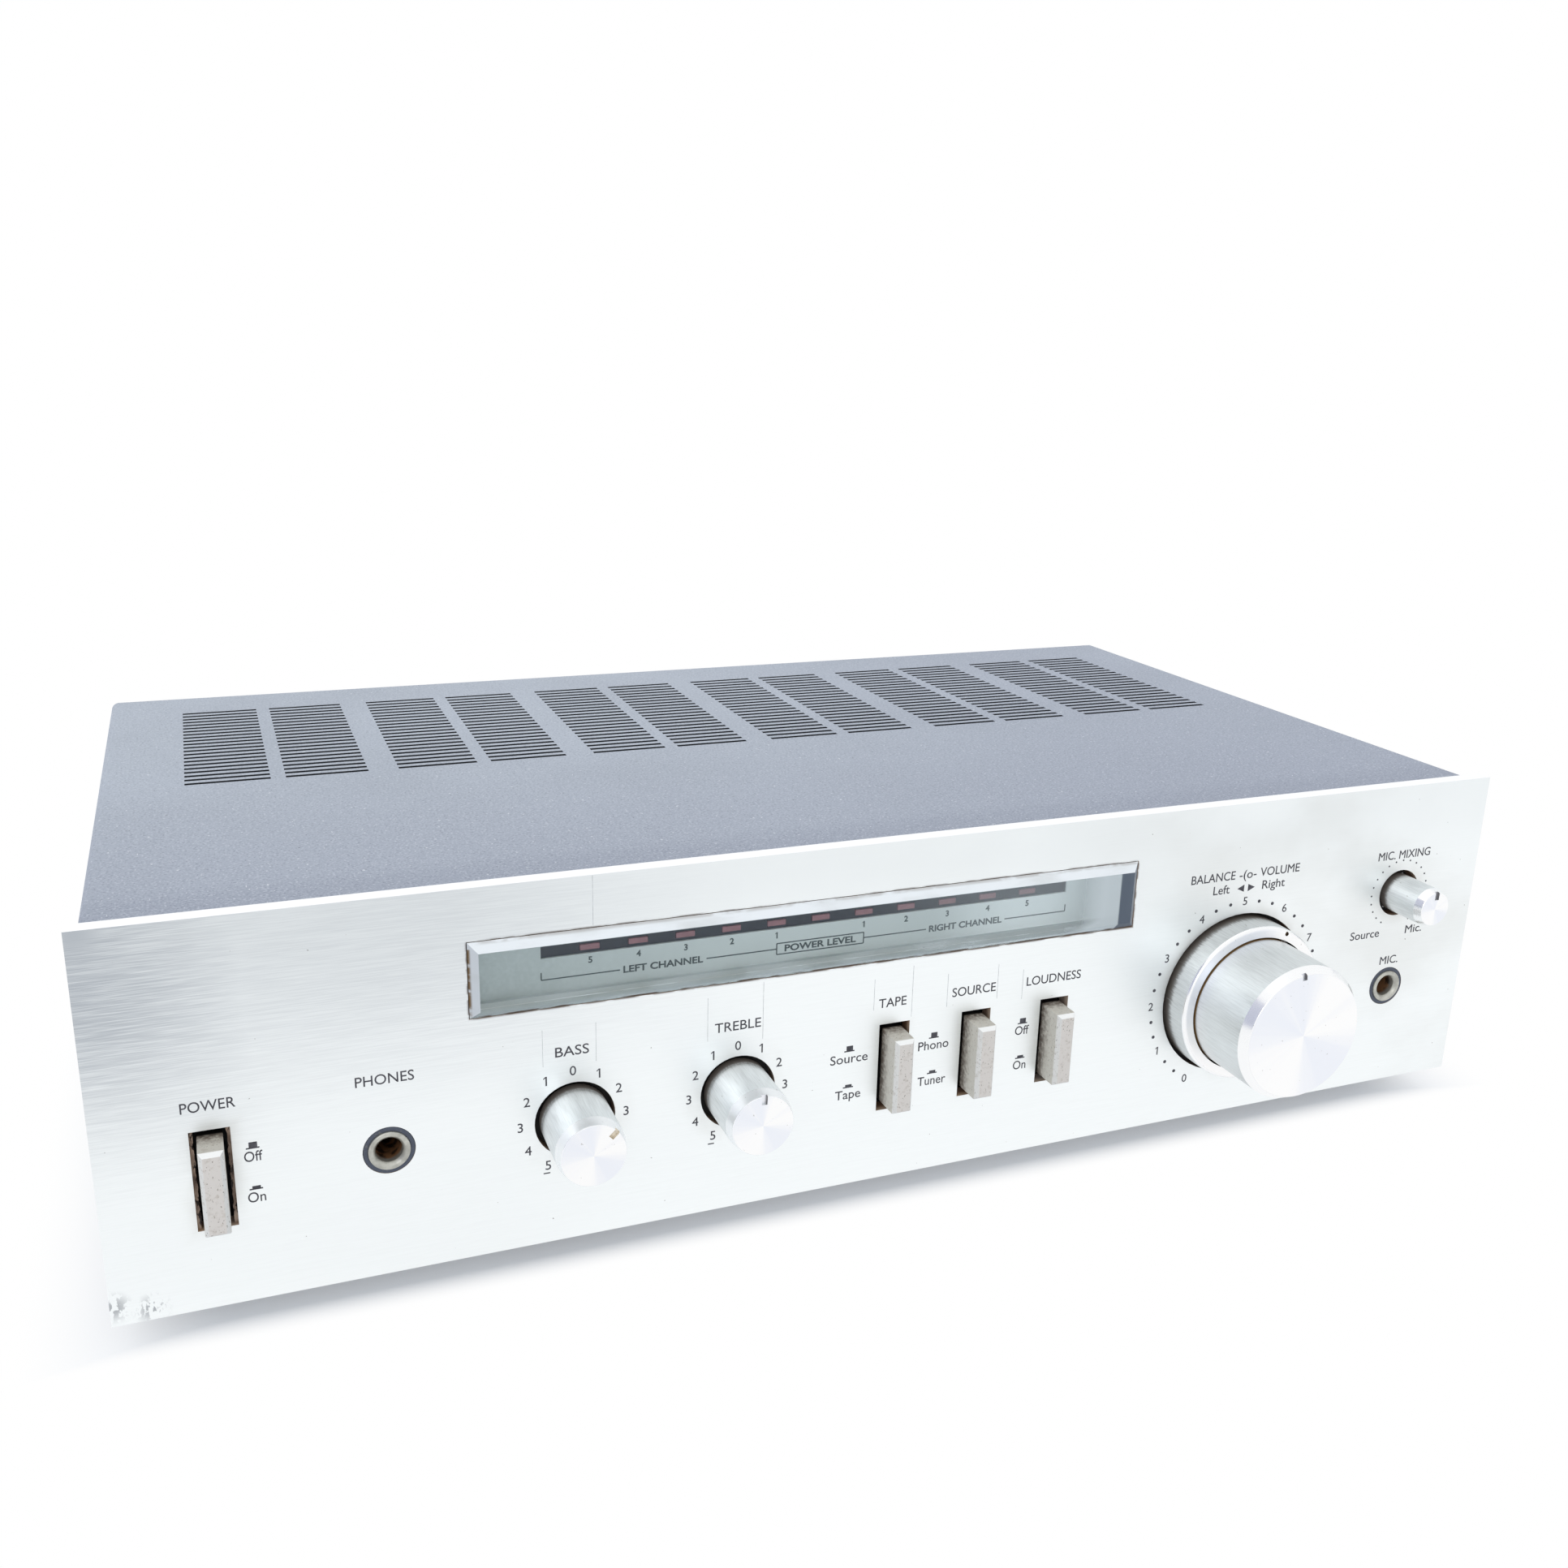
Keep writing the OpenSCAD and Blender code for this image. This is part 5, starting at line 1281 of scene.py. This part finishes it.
class AMPLIFIER_OT_rear(bpy.types.Operator):
    """Sockets, terminals, fuse holder and gland on the rear panel"""

    bl_idname = "amplifier.rear"
    bl_label = "Rear fittings"

    collar_edge = 0.15 * MM
    edge = 0.12 * MM

    def execute(self, context):
        colours = finishes()
        zinc = plated("zinc_plating", colours.zinc, 0.36, 0.25)
        black = plastic("black_moulding", srgb(40, 40, 43), srgb(84, 82, 80), 0.5)
        brown = plastic("brown_bakelite", srgb(72, 50, 40), srgb(104, 80, 64), 0.32)
        tinned = plated("tinned_collar", colours.nickel, 0.28, 0.2)
        sockets = softened("phono_sockets", "phono_collars", self.collar_edge)
        dress(sockets, BODY, "white_plastic", tinned, "phono_sockets")
        for node, name, slot, finish in (
                ("speaker_terminals", "terminal_strip", "terminal_bakelite", brown),
                ("terminal_screws", "terminal_screw_heads", "plated_steel", zinc),
                ("ground_terminal", "ground_nut", "plated_steel", zinc),
                ("fuse_holder", "fuse_cap", "black_plastic", black),
                ("mains_gland", "lead_bush", "black_plastic", black)):
            dress(softened(node, name, self.edge), BODY, slot, finish, node)
        return {"FINISHED"}


class AMPLIFIER_OT_chassis(bpy.types.Operator):
    """Chassis sheets, feet and screws"""

    bl_idname = "amplifier.chassis"
    bl_label = "Chassis"

    foot_edge = 0.5 * MM
    screw_edge = 0.25 * MM

    def execute(self, context):
        colours = finishes()
        zinc = plated("zinc_sheet", colours.zinc, 0.4, 0.22, 24)
        bright = plated("bright_screws", colours.zinc, 0.28, 0.2)
        paint(zinc, "chassis_tray", "rear_panel", "transformer_frame")
        paint(self.panel_paint(colours), "front_subpanel")
        rubber = plastic("foot_rubber", colours.rubber, srgb(92, 90, 86), 0.7, 0.08, 500, 0.25)
        dress(softened("feet", "moulded_feet", self.foot_edge, 3), BODY, "foot_rubber", rubber, "feet")
        for node in ("cover_screws", "foot_screws"):
            dress(softened(node, "rounded_" + node, self.screw_edge), BODY, "plated_steel", bright, node)
        paint(bright, "faceplate_nuts", "transformer_screws", "pot_nuts", "bass_pot", "treble_pot",
              "volume_pot", "mix_pot")
        return {"FINISHED"}

    def panel_paint(self, colours):
        """Black as painted shade for what shows through the openings, with brown flecks, grey-green where the
        lens shows it.
        """
        f = Finish("black_panel_painted_shade")
        grain = f.noise(700, 3)
        # Painted shade: black for what is seen through the faceplate's openings
        tone = f.blend(f.band(grain, 0.5, 0.75) * 0.4, srgb(34, 33, 34), srgb(70, 58, 48))
        tone = f.blend(grime_round(f, "window_lens", 0.6 * MM, True), tone, colours.scale)
        return f.surface(tone, roughness=0.6 + grain * 0.1)


class AMPLIFIER_OT_inside(bpy.types.Operator):
    """Finishes of the pieces inside the case"""

    bl_idname = "amplifier.inside"
    bl_label = "Inside"

    def execute(self, context):
        black = plastic("inner_black", srgb(40, 40, 44), srgb(80, 80, 84), 0.5)
        white = plastic("white_moulding", srgb(222, 219, 208), srgb(180, 170, 150), 0.45)
        brass = plated("turned_brass", srgb(206, 176, 112), 0.3, 0.3)
        green = plastic("green_laminate", srgb(58, 92, 62), srgb(120, 140, 96), 0.4)
        blue = plastic("blue_sleeve", srgb(44, 58, 100), srgb(80, 92, 130), 0.35)
        paint(black, "power_switch", "selector_switches", "power_transistors")
        paint(white, *(name + "_plunger" for name in BUTTONS), "board_standoffs")
        paint(brass, *(name + "_shaft" for name in ("bass", "treble", "volume", "balance", "mix")))
        paint(green, "led_board", "amplifier_board")
        paint(blue, "filter_capacitors")
        paint(plated("black_anodising", srgb(58, 58, 61), 0.45, 0.2), "heat_sink")
        paint(plated("winding_copper", srgb(170, 110, 66), 0.45, 0.3), "transformer_coil")
        paint(self.laminations(), "transformer_core")
        return {"FINISHED"}

    def laminations(self):
        """Varnished iron sheets, stacked along the depth."""
        f = Finish("core_laminations")
        sheets = f.noise((30, 2200, 30), 1)
        tone = f.blend(sheets, srgb(62, 60, 58), srgb(104, 102, 99))
        return f.surface(tone, metallic=0.7, roughness=0.5 + sheets * 0.15,
                         normal=f.bump(sheets, 0.1 * MM, 0.5))


class AMPLIFIER_OT_stage(bpy.types.Operator):
    """Floor, light and camera"""

    bl_idname = "amplifier.stage"
    bl_label = "Stage"

    # Distance of the floor's shadow inside and outside the part's outline, and at its front
    shadow_in, shadow_out = -28 * MM, 24 * MM
    front_in, front_out = -11 * MM, 3 * MM
    shadow_light = 0.22
    aim = Vector((0, 0, 0.05))

    def execute(self, context):
        look = context.scene.amplifier_stage
        self.lay_floor(look)
        self.light_world(context.scene, look)
        for name, place, size, power in (("overhead", (-0.3, 0.5, 1.8), 2.2, look.overhead),
                                         ("front", (-1.2, -1.9, 1.1), 1.2, look.front)):
            lamp_data = bpy.data.lights.new(name, "AREA")
            lamp_data.size = size
            lamp_data.energy = power
            lamp = bpy.data.objects.new(name, lamp_data)
            context.scene.collection.objects.link(lamp)
            lamp.location = place
            lamp.rotation_euler = (self.aim - lamp.location).to_track_quat("-Z", "Y").to_euler()
        self.stand_card()
        self.set_camera(context.scene, look)
        context.scene.view_settings.view_transform = "Standard"
        return {"FINISHED"}

    def lay_floor(self, look):
        """Pale floor that is white to the camera outside the part's soft shadow."""
        floor = settled(added(bpy.ops.mesh.primitive_plane_add, size=30), "floor")
        f = Finish("pale_floor")
        matte = f.node("BsdfDiffuse", {}, {"Color": (*look.floor, 1)})
        lit = f.node("Emission", {}, {"Color": (*WHITE, 1), "Strength": 1.0})
        outside = (abs(f.axis(0)) - PLATE_HIGH.x).most(f.axis(1) - cad_box[1][1])
        clear = f.band(outside, self.shadow_in, self.shadow_out, self.shadow_light, 1.0)
        ahead = f.band(FRONT - f.axis(1), self.front_in, self.front_out)
        f.end(f.mixed(f.seen() * clear.most(ahead), matte, lit))
        floor.data.materials.append(f.material)

    def light_world(self, scene, look):
        """Even light from all round, white to the camera."""
        scene.world = bpy.data.worlds.new("studio")
        studio = Finish("studio", scene.world)
        ambient = studio.node("Background", {}, {"Color": (0.96, 0.98, 1.0, 1), "Strength": look.ambient})
        white = studio.node("Background", {}, {"Color": (*WHITE, 1), "Strength": 1.0})
        studio.end(studio.mixed(studio.seen(), ambient, white))

    def stand_card(self):
        """Grey card at the left that only reflections show."""
        card = added(bpy.ops.mesh.primitive_plane_add, size=1, location=(-1.2, 0.1, 0.75),
                     rotation=(0, math.radians(75), 0))
        card.scale = (1.4, 2.2, 1)
        card = settled(card, "grey_card")
        card.data.materials.append(Finish("grey_card").surface(srgb(196, 196, 210), roughness=0.9).material)
        card.visible_camera = card.visible_diffuse = card.visible_shadow = False

    def set_camera(self, scene, look):
        """Camera at the photograph's place."""
        camera_data = bpy.data.cameras.new("camera")
        camera = bpy.data.objects.new("camera", camera_data)
        scene.collection.objects.link(camera)
        camera_data.lens = look.lens
        camera_data.sensor_width = 36
        camera_data.shift_x, camera_data.shift_y = look.shift
        camera_data.clip_start, camera_data.clip_end = 0.01, 100
        turn = (Matrix.Rotation(-look.heading, 4, "Z") @ Matrix.Rotation(math.pi / 2 - look.tilt, 4, "X")
                @ Matrix.Rotation(look.roll, 4, "Z"))
        start = Vector((0, FRONT, PLATE_LOW.z))
        camera.matrix_world = Matrix.Translation(start + Vector(look.eye)) @ turn
        scene.camera = camera


class AMPLIFIER_PT_sidebar(bpy.types.Panel):
    """Steps and settings of the amplifier"""

    bl_label = "Amplifier"
    bl_space_type = "VIEW_3D"
    bl_region_type = "UI"
    bl_category = "Amplifier"

    def draw(self, context):
        for step in STEPS:
            self.layout.operator(step.bl_idname)
        for group in SETTINGS:
            values = getattr(context.scene, group)
            for key in values.bl_rna.properties.keys():
                if key not in {"rna_type", "name"}:
                    self.layout.prop(values, key)


SETTINGS = {
    "amplifier_finishes": AmplifierFinishes,
    "amplifier_printing": AmplifierPrinting,
    "amplifier_stage": AmplifierStage,
}
STEPS = (
    AMPLIFIER_OT_faceplate,
    AMPLIFIER_OT_printing,
    AMPLIFIER_OT_cover,
    AMPLIFIER_OT_display,
    AMPLIFIER_OT_buttons,
    AMPLIFIER_OT_knobs,
    AMPLIFIER_OT_volume_and_balance,
    AMPLIFIER_OT_jacks,
    AMPLIFIER_OT_rear,
    AMPLIFIER_OT_chassis,
    AMPLIFIER_OT_inside,
    AMPLIFIER_OT_stage,
)
CLASSES = (*SETTINGS.values(), *STEPS, AMPLIFIER_PT_sidebar)


def register():
    for item in CLASSES:
        bpy.utils.register_class(item)
    for group, kind in SETTINGS.items():
        setattr(bpy.types.Scene, group, bpy.props.PointerProperty(type=kind))


def unregister():
    for group in SETTINGS:
        delattr(bpy.types.Scene, group)
    for item in reversed(CLASSES):
        bpy.utils.unregister_class(item)


def main():
    """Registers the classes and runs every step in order."""
    register()
    for step in STEPS:
        getattr(bpy.ops.amplifier, step.bl_idname.split(".")[1])()


if __name__ == "__main__":
    main()
